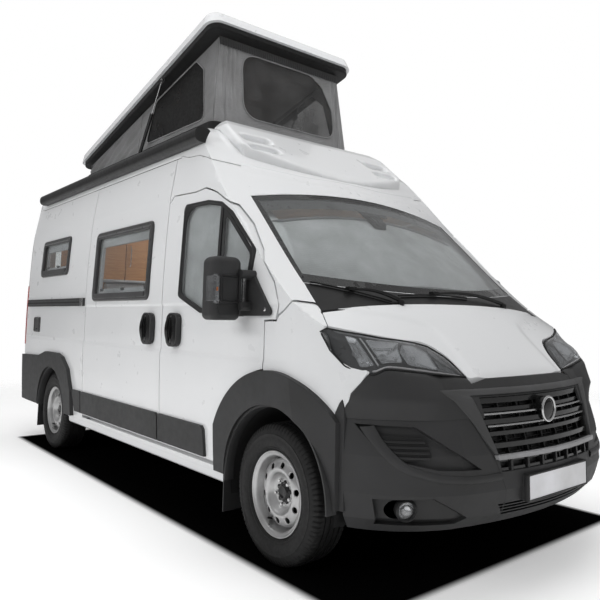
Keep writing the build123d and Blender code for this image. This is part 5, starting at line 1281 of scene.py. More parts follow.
SCREEN_UNDER = -0.0115
bm = bmesh.new()
grow(bm, on_crown, screen_loop(0.034, 0.030, 0.055), screen_loop(0.001, 0.001, 0.001),
     ((0.0, -0.0035), (1.0, -0.0035)))
made("screen_border", bm, FRIT, slot_name="gloss_black")
bm = bmesh.new()
grow(bm, on_crown, screen_loop(0.040, 0.105, 0.060), screen_loop(0.034, 0.030, 0.055),
     ((0.0, SCREEN_UNDER), (1.0, SCREEN_UNDER)))
made("screen_top_band", bm, TOP_TINT, slot_name="gloss_black")
bm = bmesh.new()
for outline, gap, depth in (([(1.315, -0.165), (1.418, -0.115), (1.418, 0.115), (1.315, 0.165)], 0.001, 0.004),
                            ([(1.330, -0.070), (1.470, -0.050), (1.470, 0.050), (1.330, 0.070)], 0.008, 0.030)):
    lay(bm, on_crown, outline, SCREEN_UNDER - gap, depth, 0.03)
made("sensor_housing", bm, FRIT, slot_name="gloss_black")
# a gasket line round the glass
bm = bmesh.new()
grow(bm, on_crown, screen_loop(0.001, 0.001, 0.001), screen_loop(-0.006, -0.006, -0.003),
     ((0.0, -0.006), (0.15, -0.0008), (0.85, -0.0008), (1.0, -0.006)))
made("screen_gasket", bm, RUBBER, slot_name="tyre")

BLIND_LOW_X, BLIND_TOP_X = 1.845, 1.380
BLIND_GAP = 0.052


def blind_point(t, s, half, lift):
    """A point on the blind: t from its top to its foot, s from side to side, half its width at the top."""
    x = BLIND_TOP_X + (BLIND_LOW_X - BLIND_TOP_X) * t + 0.05 * (1 - s * s) * (0.3 + 0.9 * t)
    return spot(on_crown, x, s * (half + 0.045 * t), lift)


bm = bmesh.new()
columns, folds = 40, 74
grid = []
for row in range(folds + 1):
    zigzag = 0.004 if row % 2 else 0.0
    grid.append([bm.verts.new(blind_point(row / folds, column / columns * 2 - 1, 0.795, -BLIND_GAP - zigzag))
                 for column in range(columns + 1)])
fill(bm, grid, False)
blind = made("screen_blind", bm, CLOTH_GREY, slot_name="tent_fabric", smooth=10)
bm = bmesh.new()
for t in (1.0, 0.0):
    tube(bm, [blind_point(t, column / 24 * 2 - 1, 0.80, -BLIND_GAP) for column in range(25)], 0.010, 8)
made("screen_blind_rail", bm, plastic("blind_rail", 0.22, 0.4, grain=0.05, edge=0.0))
print("windscreen border, blind folds", folds)

# %% [markdown]
# The side blinds, door glass rubber, quarter-light bar and the mirror's own parts follow. The mirror is a tall
# housing on two arms with a clear turn lamp wrapped round its outer edge.

# %% Door windows
DOOR_GLASS = ((0.720, 1.330), (0.720, 1.900), (1.010, 1.893), (1.170, 1.862), (1.300, 1.790),
              (1.560, 1.558), (1.478, 1.215), (1.000, 1.232), (0.800, 1.300))
SEAL_SECTION = ((0.0, -0.012), (0.0, -0.003), (0.30, -0.001), (0.42, 0.003), (0.9, 0.004), (1.0, 0.0), (1.0, -0.004))
RUBBER_SMOOTH = plastic("rubber_seal", 0.018, 0.42, grain=0.03, edge=0.002)

for body, place in (("door_right", on_flank), ("door_left", left(on_flank))):
    bm = bmesh.new()
    outer_loop = rounded(inset(DOOR_GLASS, -0.010), 0.034, 8)
    inner_loop = rounded(inset(DOOR_GLASS, 0.018), 0.130, 8)
    grow(bm, place, inner_loop, outer_loop, SEAL_SECTION)
    lay(bm, place, [(1.164, 1.232), (1.192, 1.232), (1.192, 1.850), (1.164, 1.856)], -0.001, 0.008)
    quarter = [(1.196, 1.236), (1.196, 1.832), (1.290, 1.768), (1.535, 1.550), (1.470, 1.232)]
    grow(bm, place, rounded(inset(quarter, 0.026), 0.045, 8), rounded(quarter, 0.008, 8),
         ((0.0, -0.010), (0.0, -0.004), (1.0, -0.003), (1.0, -0.010)))
    made(body + "_seals", bm, RUBBER_SMOOTH, body, "tyre")
    bm = bmesh.new()
    lay(bm, place, inset(DOOR_GLASS, -0.012), -0.030, 0.003, 0.04)
    blind = made(body + "_blind", bm, CLOTH_GREY, body, "tent_fabric")

# %% Mirrors
MIRROR_FACE_X = 1.545
INDICATOR = glass("lens_indicator", (0.86, 0.87, 0.88), 0.10)
INDICATOR_PARTS = (
    # name, low and high corner on the right, bevel, finish, slot
    ("_indicator", (1.460, -1.2560, 1.268), (1.5515, -1.2120, 1.424), 0.010, INDICATOR, "lamp_clear"),
    ("_indicator_bulb", (1.540, -1.2420, 1.330), (1.549, -1.2260, 1.356), 0.004, AMBER, "lamp_red"),
    ("_indicator_tray", (1.462, -1.2535, 1.274), (1.5465, -1.2140, 1.418), 0.009, CHROME, "lamp_clear"),
)
for body, side in (("door_right", 1), ("door_left", -1)):
    def on_mirror(y, z, lift):
        return np.stack([np.full(len(y), MIRROR_FACE_X + lift), y * side, z], 1)

    bm = bmesh.new()
    pane_out = rounded(box_outline(-1.158, 1.345, 0.128, 0.150), 0.012, 6)
    pane_in = rounded(box_outline(-1.158, 1.345, 0.100, 0.122), 0.008, 6)
    grow(bm, on_mirror, pane_in, pane_out,
         ((0.0, -0.004), (0.0, 0.003), (0.35, 0.009), (0.8, 0.008), (1.0, 0.0), (1.0, -0.01)))
    lay(bm, on_mirror, rounded(box_outline(-1.158, 1.345, 0.090, 0.112), 0.006), 0.0015, 0.003, 0.1)
    lay(bm, on_mirror, rounded([(-1.236, 1.262), (-1.092, 1.262), (-1.105, 1.215), (-1.215, 1.210)], 0.012),
        0.003, 0.006, 0.1)
    made(body + "_mirror_face", bm, PLASTIC_SMOOTH, body)
    for part, low, high, bevel, finish, slot_name in INDICATOR_PARTS:
        bm = bmesh.new()
        block(bm, low, high, bevel)
        to_side(bm, side)
        made(body + part, bm, finish, body, slot_name)
    bm = bmesh.new()
    block(bm, (1.528, -1.082, 1.272), (1.549, -1.062, 1.412), 0.004)
    turned(bm, (1.700, -float(flank(1.70, 1.245)) - 0.017, 1.243), (0, -1, 0),
           ((0.0, 0.011), (0.004, 0.010), (0.006, 0.006), (0.0065, 0.001)), 20)
    to_side(bm, side)
    made(body + "_mirror_trim", bm, CHROME, body)
print("mirrors", 2)

# %% [markdown]
# Each wiper is a slim sprung arm from its spindle to a jointed blade with a rubber lip that rests on the glass.

# %% Wipers
WIPER_PAIRS = (
    # blade ends x and y, spindle x and y
    (1.850, -0.880, 2.070, -0.510, 2.078, -0.455),
    (2.040, -0.430, 2.062, 0.130, 2.070, 0.470),
)
WIPER_BLACK = plastic("wiper_black", 0.006, 0.42, grain=0.04, edge=0.0)
bm = bmesh.new()
for x1, y1, x2, y2, spindle_x, spindle_y in WIPER_PAIRS:
    along = np.linspace(0, 1, 15)
    for lift, radius in ((0.012, 0.0045), (0.003, 0.0028)):
        tube(bm, on_crown(x1 + (x2 - x1) * along, y1 + (y2 - y1) * along, lift), radius, 6)
    mid_x, mid_y = (x1 + x2) / 2, (y1 + y2) / 2
    arm_x, arm_y = spindle_x + (mid_x - spindle_x) * along, spindle_y + (mid_y - spindle_y) * along
    arm = on_crown(arm_x, arm_y, 0.0)
    arm[:, 2] += 0.022 + 0.016 * np.sin(math.pi * along)
    tube(bm, arm, [0.013 - 0.007 * t for t in along], 8)
    joint, joint_half = Vector(spot(on_crown, mid_x, mid_y, 0.020)), Vector((0.016, 0.030, 0.008))
    block(bm, joint - joint_half, joint + joint_half, 0.003)
    foot = Vector(spot(on_crown, spindle_x, spindle_y)) - Vector((0, 0, 0.02))
    turned(bm, foot, (0.25, 0, 1), ((0.0, 0.020), (0.036, 0.019), (0.046, 0.013), (0.048, 0.001)), 24)
wiper_piece = made("wiper_set", bm, WIPER_BLACK, smooth=50)
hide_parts("wipers")
# slats of the rain tray in front of the glass
bm = bmesh.new()
for k in range(5):
    ys = np.linspace(-0.800, 0.800, 60)
    xs = 2.052 + 0.0135 * k - 0.20 * (ys / 0.9) ** 2
    tube(bm, on_crown(xs, ys, -0.004), 0.0030, 6)
made("cowl_slats", bm, WIPER_BLACK, smooth=50)
print("wipers", len(WIPER_PAIRS))

# %% [markdown]
# Behind the glass stand two cab seats in light cloth, a steering wheel, a tall laminate wardrobe, a pale worktop and
# an overhead locker. The seats are foam in sewn covers, so each part is a swollen form and not a box; the joinery is
# flat board with thin gaps between its doors.

# %% Seats
SEAT_CLOTH = weave("seat_cloth", 0.11, scale=420)
SEAT_BOLSTER = weave("seat_bolster", 0.045, scale=420)


def swollen(bm, centre, size, lean=0.0, square=0.38, around=28, rows=14):
    """A stuffed form: a rounded block whose faces bulge, leaned back by lean for each metre of height."""
    def power(value):
        return math.copysign(abs(value) ** square, value)
    rings = []
    for j in range(rows + 1):
        phi = math.pi * (j / rows - 0.5)
        ring = []
        for i in range(around):
            t = 2 * math.pi * i / around
            x, y = power(math.cos(phi)) * power(math.cos(t)), power(math.cos(phi)) * power(math.sin(t))
            z = power(math.sin(phi)) * size[2] / 2
            offset = (x * size[0] / 2 - lean * z, y * size[1] / 2, z)
            ring.append(bm.verts.new([middle + shift for middle, shift in zip(centre, offset)]))
        rings.append(ring)
    fill(bm, rings)


SEAT_PARTS = (
    # name, centre x, centre y, centre z, length, width, height, lean, cloth
    ("cushion", 0.905, 0.0, 0.895, 0.50, 0.34, 0.16, 0.0, 0),
    ("cushion_wing", 0.905, 0.215, 0.905, 0.50, 0.11, 0.18, 0.0, 1),
    ("back", 0.640, 0.0, 1.255, 0.13, 0.31, 0.60, 0.22, 0),
    ("back_wing", 0.650, 0.200, 1.235, 0.17, 0.11, 0.58, 0.22, 1),
    ("headrest", 0.565, 0.0, 1.650, 0.105, 0.27, 0.19, 0.15, 1),
)
SEAT_Y = 0.39
for part_name, x, y, z, length, width, height, lean, dark in SEAT_PARTS:
    bm = bmesh.new()
    for middle in (-SEAT_Y, SEAT_Y):
        for side in ((-1, 1) if y else (1,)):
            swollen(bm, (x, middle + side * y, z), (length, width, height), lean)
    pad = made("seat_" + part_name, bm, SEAT_BOLSTER if dark else SEAT_CLOTH, slot_name="seat_fabric", smooth=80)
bm = bmesh.new()
for middle in (-SEAT_Y, SEAT_Y):
    block(bm, (0.720, middle - 0.19, 0.545), (1.080, middle + 0.19, 0.825), 0.02)
    for side in (-0.06, 0.06):
        tube(bm, [(0.545, middle + side, 1.50), (0.560, middle + side, 1.60)], 0.006, 8)
seat_base = made("seat_bases", bm, PLASTIC, slot_name="dark_plastic")
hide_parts("cab_seats")
print("seat pieces", len(SEAT_PARTS) + 1)
bm = bmesh.new()
for middle in (-0.345, 0.345):
    swollen(bm, (-2.080, middle, 0.965), (0.930, 0.680, 0.125), square=0.16, around=48, rows=18)
made("bed_cushions", bm, SEAT_CLOTH, slot_name="seat_fabric", smooth=80)

# %% Steering wheel, joinery and cabin light
WHEEL_CENTRE, WHEEL_R = Vector((1.330, 0.390, 1.180)), 0.185
WHEEL_NORMAL = Vector((-0.82, 0.0, 0.57)).normalized()
SPOKES, SPOKE_DIP = (0, 180, 270), 0.02                  # the spokes' angles, and how deep they start at the hub
wheel_u = Vector((0, 1, 0))
wheel_v = WHEEL_NORMAL.cross(wheel_u)
bm = bmesh.new()
tube(bm, [WHEEL_CENTRE + WHEEL_R * (wheel_u * math.cos(t) + wheel_v * math.sin(t))
          for t in np.linspace(0, 2 * math.pi, 48, endpoint=False)], 0.0135, 12, closed=True)
for angle in SPOKES:
    arm = wheel_u * math.cos(math.radians(angle)) + wheel_v * math.sin(math.radians(angle))
    spoke = [WHEEL_CENTRE + arm * r - WHEEL_NORMAL * (SPOKE_DIP * (1 - r / WHEEL_R))
             for r in np.linspace(0.04, WHEEL_R, 6)]
    tube(bm, spoke, [0.020, 0.017, 0.014, 0.012, 0.011, 0.011], 8)
turned(bm, WHEEL_CENTRE - WHEEL_NORMAL * 0.035, WHEEL_NORMAL,
       ((0.0, 0.060), (0.030, 0.062), (0.042, 0.050), (0.046, 0.001)), 32)
made("steering_wheel_rim", bm, PLASTIC_SMOOTH, smooth=60)

BOARDS = (
    # low corner, high corner
    ((-0.966, -0.905, 0.60), (-0.948, -0.700, 2.10)),
    ((-0.966, -0.694, 0.60), (-0.948, -0.240, 2.10)),
    ((-2.360, -0.800, 1.60), (-2.342, -0.520, 1.98)),
    ((-2.360, -0.514, 1.60), (-2.342, -0.200, 1.98)),
)
bm = bmesh.new()
for low, high in BOARDS:
    block(bm, low, high, 0.002)
made("wardrobe_doors", bm, WOOD, slot_name="wood")
bm = bmesh.new()
block(bm, (-0.946, -0.880, 1.20), (-0.900, -0.260, 1.475), 0.012)
block(bm, (-0.950, -0.905, 1.475), (-0.880, -0.240, 1.500), 0.006)
made("worktop_edge", bm, plastic("laminate_pale", 0.62, 0.35, grain=0.02, edge=0.002), slot_name="wood")
bm = bmesh.new()
tube(bm, [(-0.930, -0.560, 1.435), (-0.915, -0.560, 1.435), (-0.905, -0.560, 1.435)], 0.012, 12)
for y in (-0.66, -0.42):
    tube(bm, [(-0.944, y, 1.62), (-0.925, y, 1.64), (-0.925, y, 1.78), (-0.944, y, 1.80)], 0.005, 8)
made("wardrobe_pulls", bm, CHROME)
add_lamp("lamp_cabin", (-0.35, -0.15, 2.12), None, 0.8, None, 9)
add_lamp("lamp_bed", (-1.9, -0.1, 2.12), None, 0.6, None, 5)
add_lamp("lamp_cab", (0.9, 0.0, 1.92), None, 0.7, None, 3)
print("boards", len(BOARDS))

# %% [markdown]
# Camper windows are thick acrylic panes in a rubber-lined frame: a dark outer frame, a paler blind cassette inside,
# a gloss hinge along the top and small catches at the foot. The rail, handles and flaps are separate mouldings.

# %% Camper windows
FRAME_DARK = plastic("window_frame", 0.052, 0.34, grain=0.06, edge=0.003)
FRAME_PALE = plastic("window_cassette", 0.62, 0.4, grain=0.04, edge=0.002)
FRAME_EDGE = metal("window_edge", 0.42, 0.3)
WINDOWS = (
    # name, centre x, centre z, width, height, frame width, side
    ("big_right", -0.237, 1.582, 1.020, 0.520, 0.052, 1),
    ("small_right", -1.797, 1.726, 0.745, 0.320, 0.044, 1),
    ("big_left", -0.237, 1.582, 1.020, 0.520, 0.052, -1),
    ("small_left", -1.797, 1.726, 0.745, 0.320, 0.044, -1),
)
for name, x, z, width, height, frame_width, side in WINDOWS:
    place = on_flank if side > 0 else left(on_flank)
    grown = box_outline(x, z, width + 0.030, height + 0.030)
    bm = bmesh.new()
    grow(bm, place, rounded(inset(grown, frame_width), 0.030, 8), rounded(grown, 0.060, 8),
         ((0.0, -0.012), (0.0, 0.010), (0.10, 0.014), (0.52, 0.016), (0.60, 0.012), (0.66, 0.012), (0.72, 0.016),
          (0.92, 0.013), (1.0, 0.004), (1.0, -0.006)))
    lay(bm, place, box_outline(x, z - height / 2 + 0.030, width - 0.09, 0.030), 0.019, 0.012)
    for share in (-0.40, 0.0, 0.40):
        catch = box_outline(x + share * width, z - height / 2 + 0.075, 0.062, 0.022)
        lay(bm, place, rounded(catch, 0.008), -0.020, 0.010)
    made("window_frame_" + name, bm, FRAME_DARK)
    bm = bmesh.new()
    inner = inset(grown, frame_width - 0.006)
    grow(bm, place, rounded(inset(grown, frame_width + 0.030), 0.020, 8), rounded(inner, 0.030, 8),
         ((0.0, -0.040), (0.0, -0.022), (1.0, -0.020)))
    lay(bm, place, box_outline(x, z + height / 2 - frame_width - 0.028, width - 0.11, 0.046), -0.022, 0.022)
    lay(bm, place, box_outline(x, z - height / 2 + frame_width + 0.016, width - 0.11, 0.026), -0.022, 0.022)
    made("window_cassette_" + name, bm, FRAME_PALE)
    bm = bmesh.new()
    grow(bm, place, rounded(inset(grown, frame_width * 0.52), 0.034, 8),
         rounded(inset(grown, frame_width * 0.44), 0.036, 8),
         ((0.0, 0.011), (0.0, 0.0155), (1.0, 0.0155), (1.0, 0.011)))
    lay(bm, place, box_outline(x, z + height / 2 - 0.020, width - 0.06, 0.010), 0.019, 0.006)
    made("window_edge_" + name, bm, FRAME_EDGE, slot_name="wheel_steel")
print("camper windows", len(WINDOWS))

# %% Rail, gutter lines, handles and flaps
bm = bmesh.new()
lay(bm, on_flank, [(-2.505, 1.283), (-0.955, 1.283), (-0.955, 1.327), (-2.505, 1.327)], 0.0190, 0.004, 0.08)
made("rail_channel", bm, metal("rail_steel", 0.20, 0.38, edge=0.002), slot_name="wheel_steel")
bm = bmesh.new()
lay(bm, on_flank, [(-2.505, 1.298), (-0.990, 1.298), (-0.990, 1.310), (-2.505, 1.310)], 0.0195, 0.002, 0.08)
made("rail_slot", bm, MESH_BLACK)
bm = bmesh.new()
lay(bm, on_flank, rounded(box_outline(-0.975, 1.305, 0.060, 0.062), 0.006), 0.0225, 0.006, 0.03)
made("rail_bracket", bm, CHROME)
gutter_x = [-2.455 + 0.30 * i for i in range(11)]
lines, shadows = bmesh.new(), bmesh.new()
for place in (on_flank, left(on_flank)):
    ridge(lines, place, [(x, 2.268) for x in gutter_x], 0.026, 0.0045)
    dark_line(shadows, place, [(x, 2.2535) for x in gutter_x], 0.002)
made("gutter_lines", lines, PAINT)
made("gutter_shadows", shadows, MESH_BLACK)

HANDLE_Z = 1.117
HANDLES = (
    # name, body, x, surface
    ("slide", "root", 0.315, on_flank), ("door_right", "door_right", 0.690, on_flank),
    ("door_left", "door_left", 0.690, left(on_flank)),
)
for name, body, x, place in HANDLES:
    bm = bmesh.new()
    z = HANDLE_Z
    outline = rounded(box_outline(x, z, 0.146, 0.206), 0.055, 8)
    hollow = rounded(box_outline(x - 0.036, z, 0.048, 0.150), 0.020, 8)
    grow(bm, place, hollow, outline,
         ((0.0, 0.006), (0.0, 0.026), (0.20, 0.030), (0.75, 0.029), (1.0, 0.018), (1.0, -0.006)))
    made("handle_shell_" + name, bm, GLOSS_BLACK, body)
    bm = bmesh.new()
    swell = [math.sin(math.pi * s / 12) for s in range(13)]
    path = [spot(place, x - 0.036 + 0.006 * w, z - 0.080 + 0.160 * s / 12, 0.020 + 0.022 * w ** 0.6)
            for s, w in enumerate(swell)]
    tube(bm, path, [0.011 + 0.003 * w for w in swell], 12)
    made("handle_grip_" + name, bm, GLOSS_BLACK, body, "gloss_black", 60)
    bm = bmesh.new()
    at = Vector(spot(place, x - 0.004, z - 0.070, 0.029))
    turned(bm, at, (0, math.copysign(1, at.y), 0),
           ((-0.004, 0.0125), (0.002, 0.0120), (0.003, 0.010), (0.0032, 0.001)), 24)
    made("handle_lock_" + name, bm, FRAME_DARK, body)

bm = bmesh.new()
flap = rounded(box_outline(-2.228, 1.099, 0.170, 0.142), 0.018, 6)
grow(bm, on_flank, rounded(box_outline(-2.228, 1.099, 0.140, 0.112), 0.010, 6), flap,
     ((0.0, 0.001), (0.0, 0.005), (0.2, 0.009), (0.85, 0.007), (1.0, 0.001), (1.0, -0.010)))
lay(bm, on_flank, rounded(box_outline(-2.228, 1.099, 0.134, 0.106), 0.010, 6), 0.004, 0.012)
lay(bm, on_flank, rounded(box_outline(-2.228, 1.058, 0.034, 0.014), 0.005, 6), 0.010, 0.007)
made("service_flap", bm, FRAME_DARK)
print("handles", len(HANDLES))

# %% [markdown]
# Below the dark side mouldings the body shows a narrow painted sill with a rolled lower flange, and the front
# arches are lined with black felted plastic behind a folded inner lip. Both are thin pressings, so each is drawn
# as a section and run along its length or round its arch.

# %% Sills and arch liners
SILL_SECTION = ((1.000, 0.372), (1.001, 0.352), (0.998, 0.341), (0.990, 0.337), (0.989, 0.318), (0.986, 0.300),
                (0.976, 0.290), (0.950, 0.286), (0.940, 0.292), (0.940, 0.372))      # half-width and height
SILL_REAR, SILL_FRONT = -1.285, 1.262
bm = bmesh.new()
rings = [[bm.verts.new((x, -w, z)) for w, z in SILL_SECTION] for x in np.linspace(SILL_REAR, SILL_FRONT, 41)]
fill(bm, rings, False)
bm.faces.new(rings[0])
bm.faces.new(rings[-1][::-1])
made("sills", bm, PAINT, smooth=28, paired=True)


def arch_band(bm, axle_x, radius_section, start_deg, end_deg, steps=64):
    """A section of (radius, half-width) rows swept round an axle, on the right."""
    rings = []
    for s in range(steps + 1):
        t = math.radians(start_deg + (end_deg - start_deg) * s / steps)
        rings.append([bm.verts.new((axle_x + r * math.cos(t), -w, AXLE_HEIGHT + r * math.sin(t)))
                      for r, w in radius_section])
    fill(bm, rings, False)


FRONT_AXLE, REAR_AXLE, AXLE_HEIGHT = 1.7585, -1.6915, 0.341
ARCHES = (
    # axle x, liner radius, lip radius, outer half-width, inner half-width, start and end angle
    (FRONT_AXLE, 0.424, 0.428, 0.985, 0.730, -8, 192),
    (REAR_AXLE, 0.381, 0.384, 0.985, 0.740, -8, 188),
)
liner_bm, lip_bm = bmesh.new(), bmesh.new()
for axle_x, liner_r, lip_r, outer_w, inner_w, start_deg, end_deg in ARCHES:
    arch_band(liner_bm, axle_x, ((liner_r, outer_w), (liner_r - 0.004, outer_w - 0.03), (liner_r, inner_w),
                                 (liner_r + 0.004, inner_w), (liner_r + 0.004, outer_w)), start_deg, end_deg)
    arch_band(lip_bm, axle_x, ((lip_r + 0.006, outer_w + 0.046), (lip_r - 0.006, outer_w + 0.044),
                               (lip_r - 0.012, outer_w + 0.030), (lip_r - 0.010, outer_w - 0.01),
                               (lip_r + 0.006, outer_w - 0.01), (lip_r + 0.006, outer_w + 0.046)), start_deg + 8,
              end_deg - 10)
made("arch_liners", liner_bm, UNDERBODY, slot_name="underbody", smooth=40, paired=True)
made("arch_lips", lip_bm, PLASTIC, smooth=40, paired=True)
print("sills and liners", len(ARCHES))

FLARE_FOOT = ((2.180, 0.360), (2.228, 0.360), (2.228, 0.800), (2.214, 0.842), (2.200, 0.822), (2.180, 0.780))
bm = bmesh.new()
for place in (on_flank, left(on_flank)):
    lay(bm, place, FLARE_FOOT, 0.006, 0.012, 0.03)
made("flare_feet", bm, PLASTIC, smooth=40)

# %% [markdown]
# The van stands on fifteen-inch pressed-steel wheels: a rolled rim, a dished disc with ten round holes near its
# edge, a deep cone in the middle with a dark cap and five bright bolts. The tyres are van tyres with four grooves
# and close-set shoulder lugs. One mesh of each is made and used four times.

# %% Tyre
AXLES = (
    # body, axle x, side, half track
    ("wheel_front_right", FRONT_AXLE, -1, 0.905), ("wheel_front_left", FRONT_AXLE, 1, 0.905),
    ("wheel_rear_right", REAR_AXLE, -1, 0.895), ("wheel_rear_left", REAR_AXLE, 1, 0.895),
)
TREAD = (
    # distance from the middle, radius, lug cut
    (0.0000, 0.3408, 0), (0.0130, 0.3408, 0), (0.0138, 0.3330, 0), (0.0202, 0.3330, 0), (0.0210, 0.3407, 0),
    (0.0430, 0.3403, 0), (0.0438, 0.3325, 0), (0.0502, 0.3325, 0), (0.0510, 0.3399, 0), (0.0560, 0.3396, 0),
    (0.0620, 0.3390, 1), (0.0740, 0.3374, 1), (0.0850, 0.3335, 1), (0.0920, 0.3270, 1), (0.0972, 0.3170, 1),
    (0.1000, 0.3085, 0), (0.1034, 0.2960, 0), (0.1050, 0.2890, 0), (0.1064, 0.2885, 0), (0.1070, 0.2865, 0),
    (0.1060, 0.2845, 0), (0.1068, 0.2700, 0), (0.1070, 0.2580, 0), (0.1054, 0.2440, 0), (0.1012, 0.2310, 0),
    (0.0980, 0.2260, 0), (0.0990, 0.2225, 0), (0.0972, 0.2185, 0), (0.0915, 0.2150, 0), (0.0860, 0.2090, 0),
    (0.0822, 0.2065, 0), (0.0800, 0.2050, 0), (0.0795, 0.1945, 0),
)
LUGS, LUG_STEPS, LUG_DEPTH = 84, 4, 0.0060
bm = bmesh.new()
rows = [(-y, r, cut) for y, r, cut in reversed(TREAD[1:])] + list(TREAD)
rings = []
for y, r, cut in rows:
    ring = []
    for s in range(LUGS * LUG_STEPS):
        shift = 2 if y < 0 else 0
        t = 2 * math.pi * s / (LUGS * LUG_STEPS)
        slot_here = cut and (s + shift) % LUG_STEPS == 0
        radius = r - (LUG_DEPTH if slot_here else 0.0)
        out_y = y - (math.copysign(0.0035, y) if slot_here and abs(y) > 0.088 else 0.0)
        ring.append(bm.verts.new((radius * math.cos(t), out_y, radius * math.sin(t))))
    rings.append(ring)
fill(bm, rings + rings[:1])
tyre_mesh = mesh_of("tyre", bm, RUBBER, 38)
print("tyre", len(tyre_mesh.polygons), "faces")

# %% Rim and disc
LIP = ((-0.0900, 0.1950), (-0.0900, 0.2040), (-0.0820, 0.2045), (-0.0800, 0.1910), (-0.060, 0.1790), (0.020, 0.1730),
       (0.0600, 0.1830), (0.0800, 0.1915), (0.0815, 0.2035), (0.0850, 0.2062), (0.0895, 0.2062), (0.0912, 0.2040),
       (0.0908, 0.2010), (0.0880, 0.1978), (0.0850, 0.1935), (0.0835, 0.1880), (0.0815, 0.1830), (0.0760, 0.1795),
       (0.0600, 0.1765), (0.0420, 0.1735), (0.0340, 0.1700), (0.0300, 0.1670), (0.0000, 0.1680), (-0.060, 0.1720),
       (-0.0850, 0.1880), (-0.0900, 0.1950))
DISH = ((0.0300, 0.0340), (0.0540, 0.0350), (0.0700, 0.0365), (0.0800, 0.0420), (0.0880, 0.0520), (0.0960, 0.0620),
        (0.1050, 0.0680), (0.1150, 0.0685), (0.1300, 0.0655), (0.1450, 0.0600), (0.1560, 0.0530), (0.1630, 0.0440),
        (0.1665, 0.0340))
dish_r, dish_y = np.array(DISH).T
HOLES, HOLE_RING, HOLE_R, DISH_SKIN = 10, 0.1345, 0.0150, 0.0035
SECTOR_IN, SECTOR_OUT, SIDE_STEPS = 0.1130, 0.1560, 6


def dish_point(r, t, back=0.0):
    y = float(eased(np.array([r]), dish_r, dish_y)[0])
    return (r * math.cos(t), y - back, r * math.sin(t))


AXLE_WAY = (0, 1, 0)
rim = bmesh.new()
turned(rim, (0, 0, 0), AXLE_WAY, LIP, 96)
step_angle = 2 * math.pi / (HOLES * SIDE_STEPS)
for back in (0.0, DISH_SKIN):
    for low, high, count in ((0.0300, SECTOR_IN, 14), (SECTOR_OUT, 0.1665, 3)):
        grid = [[rim.verts.new(dish_point(low + (high - low) * k / count, step_angle * (s - SIDE_STEPS / 2), back))
                 for s in range(HOLES * SIDE_STEPS)] for k in range(count + 1)]
        fill(rim, grid)
for hole in range(HOLES):
    middle = 2 * math.pi * hole / HOLES
    half = math.pi / HOLES
    edge = matched([(SECTOR_IN, -half), (SECTOR_IN, half), (SECTOR_OUT, half), (SECTOR_OUT, -half)], SIDE_STEPS)
    hole_rings = []
    for share, sink in ((1.0, 0.0), (0.55, 0.0), (0.18, 0.0), (0.06, 0.0006), (0.0, 0.0022), (-0.02, 0.0050),
                        (0.0, 0.0085)):
        ring = []
        for r, t in edge:
            px, pz = r * math.cos(t) - HOLE_RING, r * math.sin(t)
            angle = math.atan2(pz, px)
            hx, hz = HOLE_R * math.cos(angle), HOLE_R * math.sin(angle)
            x = HOLE_RING + hx + (px - hx) * share
            z = hz + (pz - hz) * share
            ring.append(rim.verts.new(dish_point(math.hypot(x, z), math.atan2(z, x) + middle, sink)))
        hole_rings.append(ring)
    fill(rim, hole_rings)
bmesh.ops.remove_doubles(rim, verts=rim.verts, dist=2e-5)
rim_mesh = mesh_of("rim", rim, WHEEL_SILVER, 50)
print("rim", len(rim_mesh.polygons), "faces")

# %% Hub cap, bolts and valve
BOLTS, BOLT_RING = 5, 0.0590
hub = bmesh.new()
turned(hub, (0, 0, 0), AXLE_WAY,
       ((0.0, 0.060), (0.030, 0.050), (0.0385, 0.0460), (0.0400, 0.0440), (0.0410, 0.0400), (0.0470, 0.0360),
        (0.0490, 0.0320), (0.0495, 0.0280), (0.0470, 0.0240), (0.0465, 0.0010)), 48)
for arm in range(BOLTS):
    t = 2 * math.pi * (arm + 0.5) / BOLTS
    turned(hub, (0.047 * math.cos(t), 0.030, 0.047 * math.sin(t)), (0, 1, 0),
           ((0.0, 0.0120), (0.0085, 0.0115), (0.0105, 0.0090), (0.0108, 0.0005)), 20)
turned(hub, (0.0, -0.062, 0.0), AXLE_WAY, ((0.0, 0.120), (0.012, 0.140), (0.016, 0.140), (0.022, 0.138),
                                            (0.024, 0.070), (0.060, 0.062), (0.060, 0.001)), 48)
hub_mesh = mesh_of("hub_cap", hub, GLOSS_BLACK, 40)
bolt = bmesh.new()
for number in range(BOLTS):
    t = 2 * math.pi * number / BOLTS
    place = (BOLT_RING * math.cos(t), 0.034, BOLT_RING * math.sin(t))
    turned(bolt, place, AXLE_WAY, ((0.0, 0.0125), (0.0040, 0.0118), (0.0055, 0.0092), (0.0058, 0.0086)), 24)
    turned(bolt, place, AXLE_WAY, ((0.0, 0.0092), (0.0155, 0.0092), (0.0172, 0.0078), (0.0174, 0.0004)), 6)
weight_ring = [(0.1795 * math.cos(t), 0.079, 0.1795 * math.sin(t)) for t in np.linspace(-1.12, -0.98, 8)]
tube(bolt, weight_ring, 0.0038, 6)
bolt_mesh = mesh_of("wheel_bolts", bolt, CHROME, 40)
valve = bmesh.new()
turned(valve, (0.165 * math.cos(-0.85), 0.046, 0.165 * math.sin(-0.85)), (-0.25, 1, 0.28),
       ((0.0, 0.0070), (0.012, 0.0060), (0.016, 0.0042), (0.020, 0.0042), (0.020, 0.0052), (0.032, 0.0052),
        (0.034, 0.0040), (0.034, 0.0005)), 16)
valve_mesh = mesh_of("valve", valve, RUBBER, 40)
